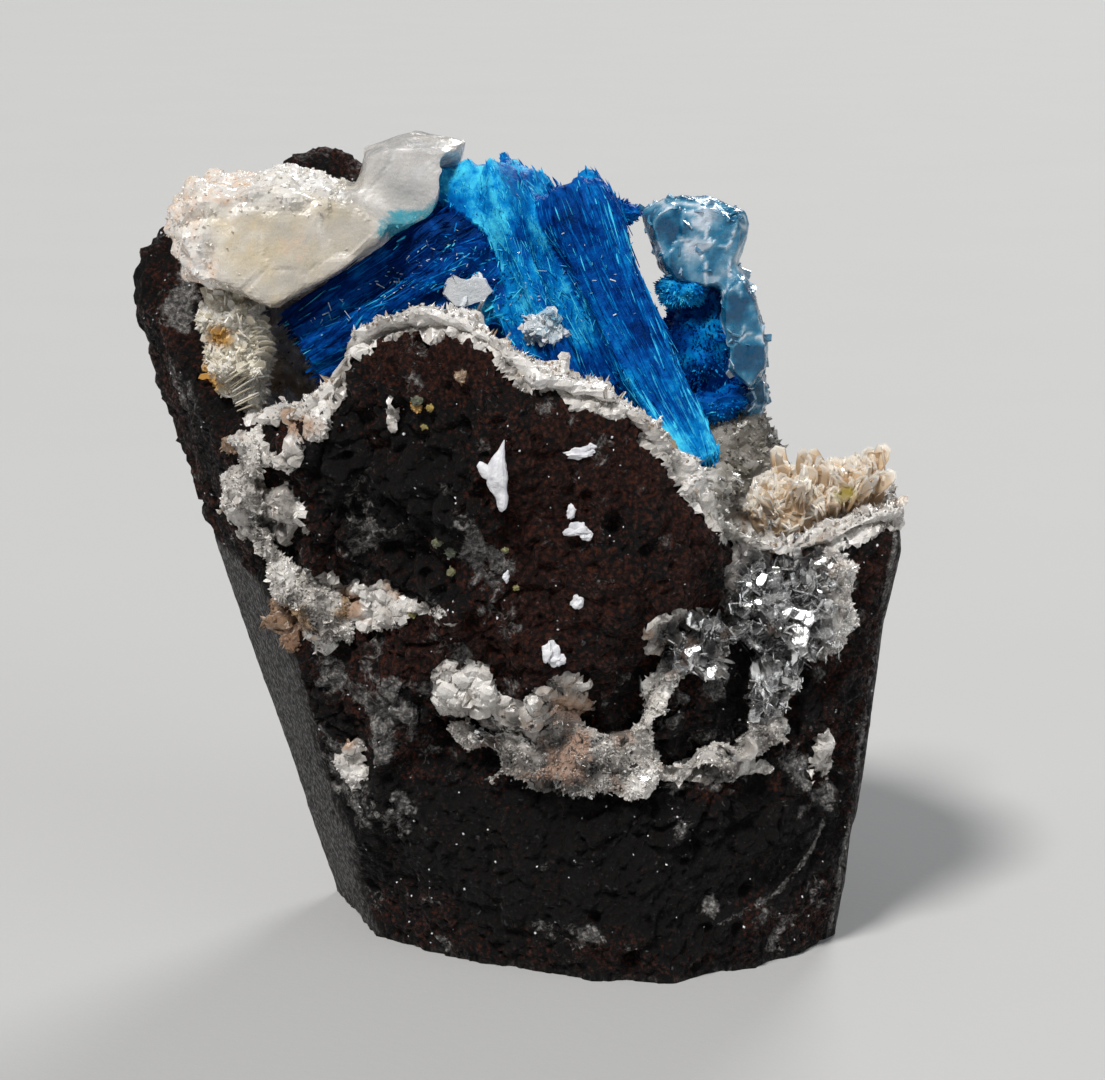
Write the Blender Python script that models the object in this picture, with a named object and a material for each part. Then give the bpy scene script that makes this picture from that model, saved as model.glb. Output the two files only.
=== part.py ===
"""A cavansite specimen: blue crystal sprays in a hollow of dark basalt, with white stilbite.

The frame is in metres, +Z up. The origin is on the flat sawn base, below the middle of the
specimen, and the front faces -Y. Every size and place below is in millimetres.
"""

import math
import random

import bmesh
import bpy
from mathutils import Matrix, Vector, noise
from mathutils.bvhtree import BVHTree

MM = 0.001
GAP = 0.3
ROCK_GAP = 0.42
WELD = 0.0001
GOLDEN_ANGLE = math.pi * (3 - math.sqrt(5))

# The rock, station by station round the hollow, counterclockwise from the front left:
# base x, base y, shoulder x, shoulder y, rim height, wall thickness.
STATIONS = (
    (-8.6, -3.8, -15.8, -9.0, 31.0, 4.0),
    (-7.4, -5.2, -12.4, -11.8, 32.0, 4.0),
    (-5.6, -6.8, -9.6, -13.2, 35.2, 4.0),
    (-4.0, -7.8, -7.4, -13.8, 37.2, 3.5),
    (-1.6, -8.8, -4.6, -14.4, 37.8, 3.5),
    (0.6, -9.6, -1.6, -14.8, 36.4, 3.5),
    (2.6, -10.2, 0.8, -15.0, 34.6, 3.5),
    (5.0, -10.8, 4.0, -15.2, 34.2, 3.5),
    (7.6, -11.2, 7.0, -15.0, 32.4, 3.5),
    (9.8, -11.0, 9.6, -14.6, 29.6, 4.0),
    (12.0, -10.4, 12.0, -14.0, 25.8, 4.5),
    (14.2, -9.2, 15.5, -13.0, 24.6, 4.5),
    (16.4, -7.0, 19.5, -10.8, 25.0, 4.0),
    (19.0, -2.5, 23.6, -6.0, 25.8, 3.5),
    (20.5, 2.0, 24.2, 1.0, 25.6, 4.0),
    (18.0, 8.0, 22.8, 8.5, 24.8, 4.5),
    (14.0, 12.0, 16.8, 13.8, 25.4, 4.5),
    (8.5, 13.8, 9.0, 15.8, 30.0, 4.5),
    (2.5, 14.0, 1.0, 16.4, 35.0, 5.0),
    (-3.0, 13.2, -7.0, 15.4, 41.0, 5.5),
    (-6.5, 11.0, -12.6, 12.4, 45.6, 6.0),
    (-9.5, 7.8, -17.6, 8.6, 43.4, 6.0),
    (-12.5, 3.0, -21.6, 4.0, 42.0, 5.0),
    (-12.5, -1.0, -20.6, -1.6, 38.4, 4.0),
    (-11.0, -2.8, -18.6, -5.8, 33.0, 4.0),
)
COLUMNS = 46
SHOULDER_Z = 30.0
UNDERCUT_Z = -3.0
RIM_ROUNDING = 1.2
OUTER_LEVELS = 11
INNER_LEVELS = 3
HOLLOW_CENTRE = Vector((1.0, -0.5, 22.0))
HOLLOW_FLOOR_SHARE = 0.62

# The saw cuts: the left and right planes lean outwards, and turn to the front.
LEFT_CUT_X, LEFT_LEAN, LEFT_TURN = -9.98, -0.317, -0.346
RIGHT_CUT_X, RIGHT_LEAN, RIGHT_TURN = 19.1, 0.13, 0.04
BLOCK_HALF_DEPTH, BLOCK_TOP_Z = 40.0, 60.0

# The slab of rock that stands proud of the front, above the white vein.
SLAB_LEFT_X, SLAB_RIGHT_X, SLAB_PROUD = -4.6, 12.2, 1.7
SLAB_LOW_Z_LEFT, SLAB_LOW_Z_RIGHT = 17.4, 22.4

# Stilbite fills breaks in the rock, where the rock's front is lower by the groove's depth.
# Each swelling on the front is given as x, z and radius, and is a share of that radius deep.
GROOVE_DEPTH, FRONT_DEPTH = 1.6, 0.85
VEIN_SWELLINGS = (
    (-2.3, 17.5, 2.1),
    (-2.6, 15.0, 2.0),
    (0.7, 14.1, 2.6),
    (2.4, 16.4, 1.7),
    (4.0, 13.6, 2.8),
    (6.6, 12.6, 2.1),
    (7.0, 15.4, 1.6),
    (7.5, 18.3, 2.2),
    (10.1, 20.5, 2.4),
    (13.0, 22.4, 2.8),
    (16.4, 20.9, 2.9),
    (17.6, 23.6, 1.9),
    (14.2, 17.9, 2.3),
    (13.5, 14.9, 2.1),
    (11.4, 13.1, 1.9),
    (9.0, 12.2, 1.5),
)
EDGE_SWELLINGS = (
    (-14.6, 30.4, 1.5),
    (-14.9, 28.2, 1.9),
    (-14.2, 25.6, 1.8),
    (-12.9, 23.2, 1.9),
    (-10.6, 21.6, 2.5),
    (-7.6, 22.2, 2.0),
    (-5.2, 22.9, 1.4),
)
DROP_SWELLINGS = ((-1.5, 31.2, 0.8), (-1.3, 30.0, 1.0))

# The crust of the hollow: it laps over the rim where the rim is nearer or further right than this.
CRUST_CLEARANCE, CRUST_THICKNESS = 0.45, 1.0
CRUST_LAP_LEVEL, CRUST_INSIDE_LEVEL = OUTER_LEVELS + 1, OUTER_LEVELS + 3
CRUST_LAP_Y, CRUST_LAP_X = -8.0, 13.0
CRUST_BLADE, CRUST_BLADE_STEP = 1.3, 3
CRUST_MOUND = ((12.2, 3.8, 26.8), (4.2, 4.2, 4.0))

# The sprays of the cavansite cluster: where each starts and ends, its half widths across and
# in depth at the two ends, how many blades it has, a blade's half width and how uneven the ends are.
SPRAYS = (
    {
        "foot": (10.4, -8.6, 29.6),
        "tip": (4.8, -2.6, 44.6),
        "foot_radii": (1.1, 1.2),
        "tip_radii": (2.3, 2.8),
        "blades": 14,
        "blade": 1.0,
        "ragged": 2.0,
    },
    {
        "foot": (4.4, -5.6, 30.4),
        "tip": (-0.8, -0.4, 45.0),
        "foot_radii": (2.7, 3.0),
        "tip_radii": (3.5, 4.4),
        "blades": 19,
        "blade": 1.25,
        "ragged": 2.0,
    },
    {
        "foot": (-11.6, -4.2, 34.9),
        "tip": (-2.0, -2.8, 40.4),
        "foot_radii": (2.6, 2.6),
        "tip_radii": (3.2, 3.6),
        "blades": 14,
        "blade": 1.25,
        "ragged": 1.2,
    },
)
CLUSTER_ROOT = ((-0.6, -1.6, 31.0), (7.4, 4.6, 6.6))

ROSETTE_CENTRE, ROSETTE_RADII = Vector((11.2, 3.2, 34.8)), Vector((3.2, 3.4, 4.4))
ROSETTE_CORE_SHARE, ROSETTE_ROOM_SHARE = 0.88, 1.26
ROSETTE_BLADES = 26

# Outlines of the large stilbite plates, as x and z seen from the front, and where each starts and
# ends in y. The front face leans back by this much for each millimetre of height.
CREAM_DEPTH, CREAM_LEAN = (-7.6, 2.6), 0.1
GREY_DEPTH = (-4.8, 3.0)
CREAM_OUTLINE = (
    (-19.2, 39.8),
    (-20.2, 43.6),
    (-18.6, 45.4),
    (-16.0, 45.2),
    (-13.2, 46.0),
    (-11.2, 45.2),
    (-8.6, 44.6),
    (-6.0, 43.2),
    (-6.8, 41.8),
    (-10.3, 39.5),
    (-13.9, 37.8),
    (-16.3, 38.9),
)
GREY_OUTLINE = (
    (-9.4, 44.0),
    (-9.0, 47.0),
    (-6.6, 47.9),
    (-3.4, 47.4),
    (-4.0, 45.2),
    (-5.0, 43.4),
    (-7.0, 41.8),
    (-8.6, 42.4),
)
REAR_DEPTHS = ((-0.6, 4.0), (-1.4, 4.8), (0.6, 5.0))
REAR_OUTLINES = (
    (
        (7.0, 43.0),
        (8.4, 43.9),
        (11.2, 43.9),
        (13.3, 43.0),
        (13.6, 41.6),
        (12.8, 39.4),
        (11.4, 38.2),
        (9.0, 38.6),
        (8.0, 39.9),
    ),
    (
        (12.9, 40.2),
        (13.9, 38.2),
        (14.6, 36.0),
        (14.8, 33.8),
        (13.6, 32.2),
        (12.0, 33.6),
        (11.6, 36.6),
        (11.6, 38.8),
    ),
    ((13.2, 33.6), (14.8, 33.4), (15.0, 31.6), (14.2, 30.7), (12.6, 31.0), (12.0, 32.4)),
)

# Rounded masses of small crystals, as x, y, z and radius, and the way that they face.
WALL_MASSES = (
    (-16.6, -4.4, 32.8, 2.0),
    (-16.2, -4.2, 35.2, 2.1),
    (-16.6, -4.0, 37.4, 1.9),
)
SHOULDER_MASSES = ((15.6, -3.2, 25.8, 2.8), (18.4, -3.0, 26.2, 2.9), (20.2, -2.0, 26.0, 1.9))
WALL_OUT, SHOULDER_OUT = (0.4, -1.0, 0.4), (0.0, -0.5, 1.0)
LUMP_UNEVENNESS = 0.22

COLOURS = {
    "basalt": ((0.045, 0.028, 0.024), 0.8),
    "stilbite": ((0.82, 0.78, 0.72), 0.35),
    "cream_stilbite": ((0.78, 0.70, 0.56), 0.35),
    "tan_stilbite": ((0.74, 0.60, 0.42), 0.35),
    "blue_stilbite": ((0.50, 0.68, 0.76), 0.3),
    "cavansite": ((0.0, 0.16, 0.62), 0.3),
    "calcite": ((0.88, 0.88, 0.90), 0.4),
}


def clear_scene():
    for obj in list(bpy.data.objects):
        bpy.data.objects.remove(obj)


def material(name):
    found = bpy.data.materials.get(name)
    if found:
        return found
    colour, roughness = COLOURS[name]
    made = bpy.data.materials.new(name)
    made.use_nodes = True
    shader = made.node_tree.nodes["Principled BSDF"]
    shader.inputs["Base Color"].default_value = (*colour, 1.0)
    shader.inputs["Roughness"].default_value = roughness
    shader.inputs["Metallic"].default_value = 0.0
    return made


def make_object(name, bm, slot):
    """A scene object from a bmesh in millimetres, with its faces pointing out."""
    bmesh.ops.recalc_face_normals(bm, faces=bm.faces)
    mesh = bpy.data.meshes.new(name)
    bm.to_mesh(mesh)
    bm.free()
    mesh.transform(Matrix.Scale(MM, 4))
    obj = bpy.data.objects.new(name, mesh)
    obj.data.materials.append(material(slot))
    bpy.context.scene.collection.objects.link(obj)
    return obj


def make_helper(name, bm, slot="basalt"):
    """An object that only cuts or joins others, which is not part of the specimen."""
    helper = make_object(name, bm, slot)
    helper.hide_render = True
    helper.display_type = "WIRE"
    return helper


def combine(obj, operation, helper):
    """Adds a Boolean with a helper. Both may overlap themselves."""
    modifier = obj.modifiers.new(operation.title() + " " + helper.name, "BOOLEAN")
    modifier.operation = operation
    modifier.object = helper
    modifier.use_self = True


def swell(obj, by=GAP):
    """Grows a helper along its normals, so that what it cuts keeps a gap to the original."""
    modifier = obj.modifiers.new("Swell", "DISPLACE")
    modifier.strength = by * MM
    modifier.mid_level = 0.0
    return obj


def blend(values, position):
    """The stations' values at a position between stations, on a smooth closed curve."""
    count = len(values)
    index = int(math.floor(position))
    t = position - index
    before, here, after, beyond = (values[(index + step) % count] for step in (-1, 0, 1, 2))
    return [
        b + 0.5 * t * (c - a + t * (2 * a - 5 * b + 4 * c - d + t * (3 * (b - c) + d - a)))
        for a, b, c, d in zip(before, here, after, beyond)
    ]


def shells_of(bm):
    """The faces of each shell of a mesh. Shells may touch, at a corner or along an edge."""
    shells, seen = [], set()
    for seed in bm.faces:
        if seed in seen:
            continue
        seen.add(seed)
        shell = [seed]
        for face in shell:
            for edge in face.edges:
                if len(edge.link_faces) > 2:
                    continue
                for other in edge.link_faces:
                    if other not in seen:
                        seen.add(other)
                        shell.append(other)
        shells.append(shell)
    return shells


def settle(obj):
    """Applies an object's Booleans, and drops the crumbs and sealed pockets that they leave."""
    graph = bpy.context.evaluated_depsgraph_get()
    mesh = bpy.data.meshes.new_from_object(obj.evaluated_get(graph))
    bm = bmesh.new()
    bm.from_mesh(mesh)
    bmesh.ops.remove_doubles(bm, verts=bm.verts, dist=WELD * MM)
    shells = sorted(shells_of(bm), key=len)
    crumbs = [face for shell in shells[:-1] for face in shell]
    bmesh.ops.delete(bm, geom=crumbs, context="FACES")
    bm.to_mesh(mesh)
    bm.free()
    obj.modifiers.clear()
    obj.data = mesh


def ramp(value, low, high):
    t = min(1.0, max(0.0, (value - low) / (high - low)))
    return t * t * (3 - 2 * t)


def unevenness(point):
    """A smooth random direction and length at a point."""
    shifts = (Vector((9.3, 1.5, 7.9)), Vector((4.7, 8.1, 2.3)), Vector((6.1, 3.7, 5.9)))
    return Vector([noise.noise(point + shift) for shift in shifts])


def roughened(point, strength=1.0):
    """Moves a point of the rock as broken basalt is, by large and small unevenness."""
    return point + strength * (1.5 * unevenness(point / 7.5) + 0.9 * unevenness(point / 2.8))


def front_offset(point):
    """How far the rock's front is pushed forwards here, by the slab and by the breaks."""
    if point.y > 0:
        return 0.0
    low = SLAB_LOW_Z_LEFT + (SLAB_LOW_Z_RIGHT - SLAB_LOW_Z_LEFT) * ramp(point.x, 2.0, 12.0)
    above = ramp(point.z, low - 0.8, low + 0.8)
    inside = ramp(point.x, SLAB_LEFT_X - 2.5, SLAB_LEFT_X + 2.5)
    inside *= 1 - ramp(point.x, SLAB_RIGHT_X - 0.8, SLAB_RIGHT_X + 0.8)
    lowest = 0.0
    for x, z, radius in VEIN_SWELLINGS + EDGE_SWELLINGS:
        away = math.hypot(point.x - x, point.z - z) / radius
        lowest = max(lowest, 1 - ramp(away, 0.6, 1.5))
    return SLAB_PROUD * above * inside - GROOVE_DEPTH * lowest


def rock_columns():
    """The rock's surface as columns of points, from under the base, over the rim, into the hollow."""
    columns = []
    for step in range(COLUMNS):
        values = blend(STATIONS, len(STATIONS) * step / COLUMNS)
        base, wide = Vector((*values[:2], 0.0)), Vector((*values[2:4], SHOULDER_Z))
        rim, wall = values[4:]

        def outside(z):
            point = base.lerp(wide, min(1.1, z / SHOULDER_Z))
            point.z = z
            point.y -= front_offset(point)
            return point

        outer_top = rim - RIM_ROUNDING
        column = []
        for level in range(OUTER_LEVELS + 1):
            z = UNDERCUT_Z + (outer_top - UNDERCUT_Z) * level / OUTER_LEVELS
            column.append(roughened(outside(z)))
        edge = outside(rim)
        inward = HOLLOW_CENTRE - edge
        inward.z = 0
        inward.normalize()
        for share in (0.3, 0.7):
            column.append(roughened(edge + inward * wall * share, 0.6))
        lip = edge + inward * wall
        foot = HOLLOW_CENTRE.lerp(lip, HOLLOW_FLOOR_SHARE)
        for level in range(INNER_LEVELS + 1):
            t = level / INNER_LEVELS
            point = lip.lerp(foot, t * t)
            point.z = outer_top + (HOLLOW_CENTRE.z - outer_top) * t
            column.append(roughened(point, 0.5))
        columns.append(column)
    return columns


def sheet(bm, columns):
    """Joins neighbouring columns of points with quads, and returns their vertices."""
    rows = [[bm.verts.new(point) for point in column] for column in columns]
    for here, following in zip(rows, rows[1:] + rows[:1]):
        for low in range(len(here) - 1):
            bm.faces.new((here[low], following[low], following[low + 1], here[low + 1]))
    return rows


def close(bm, ring, centre):
    """Closes a ring of vertices with triangles to a middle point."""
    middle = bm.verts.new(centre)
    for here, following in zip(ring, ring[1:] + ring[:1]):
        bm.faces.new((here, following, middle))


def rock_surface(columns):
    """The rock before it was sawn, and the outward direction at each point of its columns."""
    bm = bmesh.new()
    rows = sheet(bm, columns)
    close(bm, [row[0] for row in rows], Vector((3.0, 0.0, UNDERCUT_Z - 1)))
    close(bm, [row[-1] for row in rows], HOLLOW_CENTRE - Vector((0, 0, 0.6)))
    bmesh.ops.recalc_face_normals(bm, faces=bm.faces)
    bm.normal_update()
    return bm, [[vert.normal.copy() for vert in row] for row in rows]


def saw_block():
    """The block that the saw leaves: flat below, left and right, open above and behind."""
    bm = bmesh.new()
    corners = []
    for z in (0.0, BLOCK_TOP_Z):
        for y in (-BLOCK_HALF_DEPTH, BLOCK_HALF_DEPTH):
            left = LEFT_CUT_X + LEFT_LEAN * z + LEFT_TURN * y
            right = RIGHT_CUT_X + RIGHT_LEAN * z + RIGHT_TURN * y
            corners.append(bm.verts.new((left, y, z)))
            corners.append(bm.verts.new((right, y, z)))
    bmesh.ops.convex_hull(bm, input=corners)
    return make_helper("saw_block", bm)


def prism(bm, start, end, radii, roll, sides=4, tip_share=0.25, tip_size=0.3):
    """One crystal from start to end: a flattened prism of flat faces, with a bevelled end."""
    axis = (end - start).normalized()
    side = axis.orthogonal().normalized()
    side.rotate(Matrix.Rotation(roll, 3, axis))
    other = axis.cross(side)
    rings = []
    for along, size in ((0.0, 1.0), (1.0 - tip_share, 1.0), (1.0, tip_size)):
        centre = start.lerp(end, along)
        ring = []
        for k in range(sides):
            angle = 2 * math.pi * (k + 0.5) / sides
            across = math.cos(angle) * radii[0] * size
            through = math.sin(angle) * radii[1] * size
            ring.append(bm.verts.new(centre + across * side + through * other))
        rings.append(ring)
    close_rings(bm, rings)


def join_rings(bm, rings):
    """Joins rings of vertices one after another."""
    count = len(rings[0])
    for low, high in zip(rings, rings[1:]):
        for k in range(count):
            following = (k + 1) % count
            bm.faces.new((low[k], low[following], high[following], high[k]))


def close_rings(bm, rings):
    """Joins rings of vertices, with a flat face at each end."""
    join_rings(bm, rings)
    bm.faces.new(rings[0][::-1])
    bm.faces.new(rings[-1])


def lump(bm, centre, radii, seed, sides=8, bands=5):
    """An uneven rounded mass, of rings between two poles."""
    shift = Vector((seed * 3.7, seed * 1.9, seed * 0.7))

    def place(turn, rise):
        out = Vector((math.cos(turn) * math.sin(rise), math.sin(turn) * math.sin(rise), -math.cos(rise)))
        bulge = 1 + LUMP_UNEVENNESS * noise.noise(out * 1.6 + shift)
        return bm.verts.new(Vector(centre) + Vector([c * r * bulge for c, r in zip(out, radii)]))

    rings = [
        [place(2 * math.pi * k / sides, math.pi * band / bands) for k in range(sides)]
        for band in range(1, bands)
    ]
    bottom, top = place(0, 0), place(0, math.pi)
    join_rings(bm, rings)
    for k in range(sides):
        following = (k + 1) % sides
        bm.faces.new((rings[0][following], rings[0][k], bottom))
        bm.faces.new((rings[-1][k], rings[-1][following], top))


def plate(bm, outline, front_y, back_y, lean=0.0):
    """A thick crystal plate: an outline in x and z, from front to back, its front face smaller."""
    centre_x = sum(x for x, z in outline) / len(outline)
    centre_z = sum(z for x, z in outline) / len(outline)
    edge_y = front_y + 0.3 * (back_y - front_y)
    rings = []
    for y, size in ((front_y, 0.84), (edge_y, 1.0), (back_y, 0.9)):
        ring = []
        for x, z in outline:
            place_z = centre_z + (z - centre_z) * size
            place_y = y + lean * (z - centre_z)
            ring.append(bm.verts.new((centre_x + (x - centre_x) * size, place_y, place_z)))
        rings.append(ring)
    close_rings(bm, rings)


def spray_ends(spray):
    """A spray's two ends, its direction, the direction across it from the front, and its depth."""
    foot, tip = Vector(spray["foot"]), Vector(spray["tip"])
    along = (tip - foot).normalized()
    across = along.cross(Vector((0, 1, 0))).normalized()
    return foot, tip, along, across, across.cross(along)


def spray_core(bm, spray, size, longer, wider, sides=10):
    """A plain tapered column round a spray's axis."""
    foot, tip, along, across, deep = spray_ends(spray)
    rings = []
    for centre, radii in (
        (foot - along * longer, spray["foot_radii"]),
        (tip + along * longer, spray["tip_radii"]),
    ):
        ring = []
        for k in range(sides):
            angle = 2 * math.pi * k / sides
            offset = across * math.cos(angle) * (radii[0] * size + wider)
            offset += deep * math.sin(angle) * (radii[1] * size + wider)
            ring.append(bm.verts.new(centre + offset))
        rings.append(ring)
    close_rings(bm, rings)


def spray_blades(bm, spray, rng):
    """A spray's blades, side by side from foot to tip and spread evenly over its section."""
    foot, tip, along, across, deep = spray_ends(spray)
    count = spray["blades"]
    for k in range(count):
        radius, angle = math.sqrt((k + 0.5) / count), k * GOLDEN_ANGLE
        u, v = radius * math.cos(angle), radius * math.sin(angle)
        ends = [
            centre + across * u * radii[0] + deep * v * radii[1]
            for centre, radii in ((foot, spray["foot_radii"]), (tip, spray["tip_radii"]))
        ]
        start = ends[0] - along * rng.uniform(0, 0.4) * spray["ragged"]
        end = ends[1] + along * rng.uniform(-0.5, 0.5) * spray["ragged"]
        half = spray["blade"] * rng.uniform(0.85, 1.15)
        roll = rng.uniform(0, math.pi)
        prism(bm, start, end, (half, half * 0.75), roll, tip_share=0.12, tip_size=0.4)


def cavansite_cluster(rock_grown):
    """The three sprays, which have grown together on one root in the hollow."""
    rng = random.Random(7)
    core, blades = bmesh.new(), bmesh.new()
    lump(core, *CLUSTER_ROOT, seed=4)
    for spray in SPRAYS:
        spray_core(core, spray, size=0.9, longer=-0.3 * spray["ragged"], wider=0.0)
        spray_blades(blades, spray, rng)
    cluster = make_object("cavansite_cluster", core, "cavansite")
    combine(cluster, "UNION", make_helper("cluster_blades", blades))
    combine(cluster, "DIFFERENCE", rock_grown)


def cluster_envelopes():
    """Plain columns that hold the whole sprays, with room to spare, and the swollen root."""
    envelopes = []
    for index, spray in enumerate(SPRAYS):
        spare = spray["blade"] * 1.2 + GAP
        bm = bmesh.new()
        spray_core(bm, spray, size=1.0, longer=0.5 * spray["ragged"] + GAP, wider=spare)
        envelopes.append(make_helper("spray_envelope_%d" % index, bm))
    root = bmesh.new()
    lump(root, *CLUSTER_ROOT, seed=4)
    envelopes.append(swell(make_helper("root_envelope", root)))
    return envelopes


def cavansite_rosette():
    """The ball of blades behind the column. Returns a helper that holds it, with room to spare."""
    rng = random.Random(11)
    core, blades = bmesh.new(), bmesh.new()
    lump(core, ROSETTE_CENTRE, ROSETTE_RADII * ROSETTE_CORE_SHARE, 5)
    for k in range(ROSETTE_BLADES):
        height = 1 - 2 * (k + 0.5) / ROSETTE_BLADES
        ring, angle = math.sqrt(1 - height * height), k * GOLDEN_ANGLE
        out = Vector((ring * math.cos(angle), ring * math.sin(angle), height))
        reach = Vector([c * r for c, r in zip(out, ROSETTE_RADII)]) * rng.uniform(0.98, 1.1)
        half = rng.uniform(0.75, 1.05)
        start, end = ROSETTE_CENTRE + reach * 0.4, ROSETTE_CENTRE + reach
        prism(blades, start, end, (half, half * 0.7), rng.uniform(0, math.pi), tip_share=0.4)
    rosette = make_object("cavansite_rosette", core, "cavansite")
    combine(rosette, "UNION", make_helper("rosette_blades", blades))
    around = bmesh.new()
    lump(around, ROSETTE_CENTRE, ROSETTE_RADII * ROSETTE_ROOM_SHARE, 5)
    return make_helper("rosette_envelope", around)


def stilbite_sheaf(keep_clear):
    """The two large plates at the upper left, grown together. Returns the cream one, swelled."""
    cream, grey = bmesh.new(), bmesh.new()
    plate(cream, CREAM_OUTLINE, *CREAM_DEPTH, CREAM_LEAN)
    plate(grey, GREY_OUTLINE, *GREY_DEPTH)
    cream_grown = swell(make_helper("cream_grown", cream.copy()))
    sheaf = make_object("stilbite_sheaf", cream, "cream_stilbite")
    combine(sheaf, "UNION", make_helper("sheaf_grey_plate", grey))
    for helper in keep_clear:
        combine(sheaf, "DIFFERENCE", helper)
    return cream_grown


def stilbite_rear_plates(keep_clear):
    """The pale blue plates on the rosette, grown together."""
    upper, lower = bmesh.new(), bmesh.new()
    plate(upper, REAR_OUTLINES[0], *REAR_DEPTHS[0])
    for outline, depths in zip(REAR_OUTLINES[1:], REAR_DEPTHS[1:]):
        plate(lower, outline, *depths)
    plates = make_object("stilbite_rear_plates", upper, "blue_stilbite")
    combine(plates, "UNION", make_helper("rear_lower_plates", lower))
    for helper in keep_clear:
        combine(plates, "DIFFERENCE", helper)


def blades_on(bm, point, out, count, length, rng, spread):
    """A few stilbite blades that fan out from a point of a crust."""
    for _ in range(count):
        tilt = Vector([rng.uniform(-1, 1) for _ in range(3)]) * spread
        direction = (out + tilt).normalized()
        reach = length * rng.uniform(0.75, 1.2)
        width = reach * rng.uniform(0.3, 0.42)
        start = point - direction * reach * 0.35
        prism(bm, start, point + direction * reach, (width, width * 0.5), rng.uniform(0, 3))


def crystal_masses(name, masses, slot, seed, blades, keep_clear):
    """Masses grown together, each a centre, radii and outward direction, with blades on them."""
    rng = random.Random(seed)
    rounded, crystals = bmesh.new(), bmesh.new()
    for index, (centre, radii, out) in enumerate(masses):
        lump(rounded, centre, radii, seed + index, sides=7, bands=4)
        size = max(radii)
        for _ in range(blades):
            turn = Vector([rng.uniform(-1, 1) for _ in range(3)])
            direction = (out + turn * 0.7).normalized()
            place = centre + Vector([c * r * 0.8 for c, r in zip(direction, radii)])
            blades_on(crystals, place, direction, 1, size * 0.7, rng, 0.4)
    made = make_object(name, rounded, slot)
    if blades:
        combine(made, "UNION", make_helper(name + "_blades", crystals))
    for helper in keep_clear:
        combine(made, "DIFFERENCE", helper)


def on_front(tree, swellings, depth):
    """Swellings laid on the rock's front, flattened to a share of their radius in depth."""
    masses = []
    for x, z, radius in swellings:
        hit, normal, _, _ = tree.ray_cast(Vector((x, -BLOCK_HALF_DEPTH, z)), Vector((0, 1, 0)))
        masses.append((hit, Vector((radius, radius * depth, radius)), normal))
    return masses


def free_masses(rows, out):
    return [(Vector((x, y, z)), Vector((r, r, r)), Vector(out)) for x, y, z, r in rows]


def crust_sheet(columns, normals):
    """The druse that lines the hollow and laps over its front rim, as an uneven closed sheet.

    Also returns the places on its rim where larger blades stand, each with its outward direction.
    """
    rng = random.Random(3)
    deepest, count = len(columns[0]) - 1, len(columns)
    middle = (count, deepest)
    under = {middle: HOLLOW_CENTRE + Vector((0, 0, CRUST_CLEARANCE - 0.6))}
    over = {middle: HOLLOW_CENTRE + Vector((0, 0, CRUST_THICKNESS))}
    firsts, stands = [], []
    for k, (column, outward) in enumerate(zip(columns, normals)):
        rim = column[CRUST_LAP_LEVEL]
        lapped = rim.y < CRUST_LAP_Y or rim.x > CRUST_LAP_X
        firsts.append(CRUST_LAP_LEVEL if lapped else CRUST_INSIDE_LEVEL)
        if rim.y < CRUST_LAP_Y and k % CRUST_BLADE_STEP == 0:
            level = CRUST_LAP_LEVEL + 1
            up = outward[level]
            stands.append((column[level] + up * (CRUST_CLEARANCE + CRUST_THICKNESS), up))
        for level in range(CRUST_LAP_LEVEL, deepest + 1):
            thickness = CRUST_THICKNESS * rng.uniform(0.6, 1.4)
            point, up = column[level], outward[level]
            under[k, level] = point + up * CRUST_CLEARANCE
            over[k, level] = point + up * (CRUST_CLEARANCE + thickness)
    patches = []
    for k in range(count):
        n = (k + 1) % count
        for level in range(max(firsts[k], firsts[n]), deepest):
            patches.append(((k, level), (n, level), (n, level + 1), (k, level + 1)))
        patches.append(((k, deepest), (n, deepest), middle))
    edges = [pair for patch in patches for pair in zip(patch, patch[1:] + patch[:1])]
    used = sorted({corner for patch in patches for corner in patch})
    bm = bmesh.new()
    low = {corner: bm.verts.new(under[corner]) for corner in used}
    high = {corner: bm.verts.new(over[corner]) for corner in used}
    for patch in patches:
        bm.faces.new([low[corner] for corner in reversed(patch)])
        bm.faces.new([high[corner] for corner in patch])
    inner = set(edges)
    for a, b in edges:
        if (b, a) not in inner:
            bm.faces.new((low[a], low[b], high[b], high[a]))
    bmesh.ops.recalc_face_normals(bm, faces=bm.faces)
    return bm, stands


def stilbite_crust(columns, normals, keep_clear, block):
    """The crust, its rim's blades and its mound below the rosette. Returns the sheet, swelled."""
    rng = random.Random(21)
    lining, stands = crust_sheet(columns, normals)
    blades, mound = bmesh.new(), bmesh.new()
    for point, up in stands:
        blades_on(blades, point, up, 1, CRUST_BLADE, rng, 0.5)
    lump(mound, *CRUST_MOUND, seed=9)
    crust_grown = swell(make_helper("crust_grown", lining.copy()), ROCK_GAP)
    crust = make_object("stilbite_crust", lining, "stilbite")
    combine(crust, "UNION", make_helper("crust_blades", blades))
    combine(crust, "UNION", make_helper("crust_mound", mound))
    for helper in keep_clear:
        combine(crust, "DIFFERENCE", helper)
    combine(crust, "INTERSECT", block)
    return crust_grown


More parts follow.
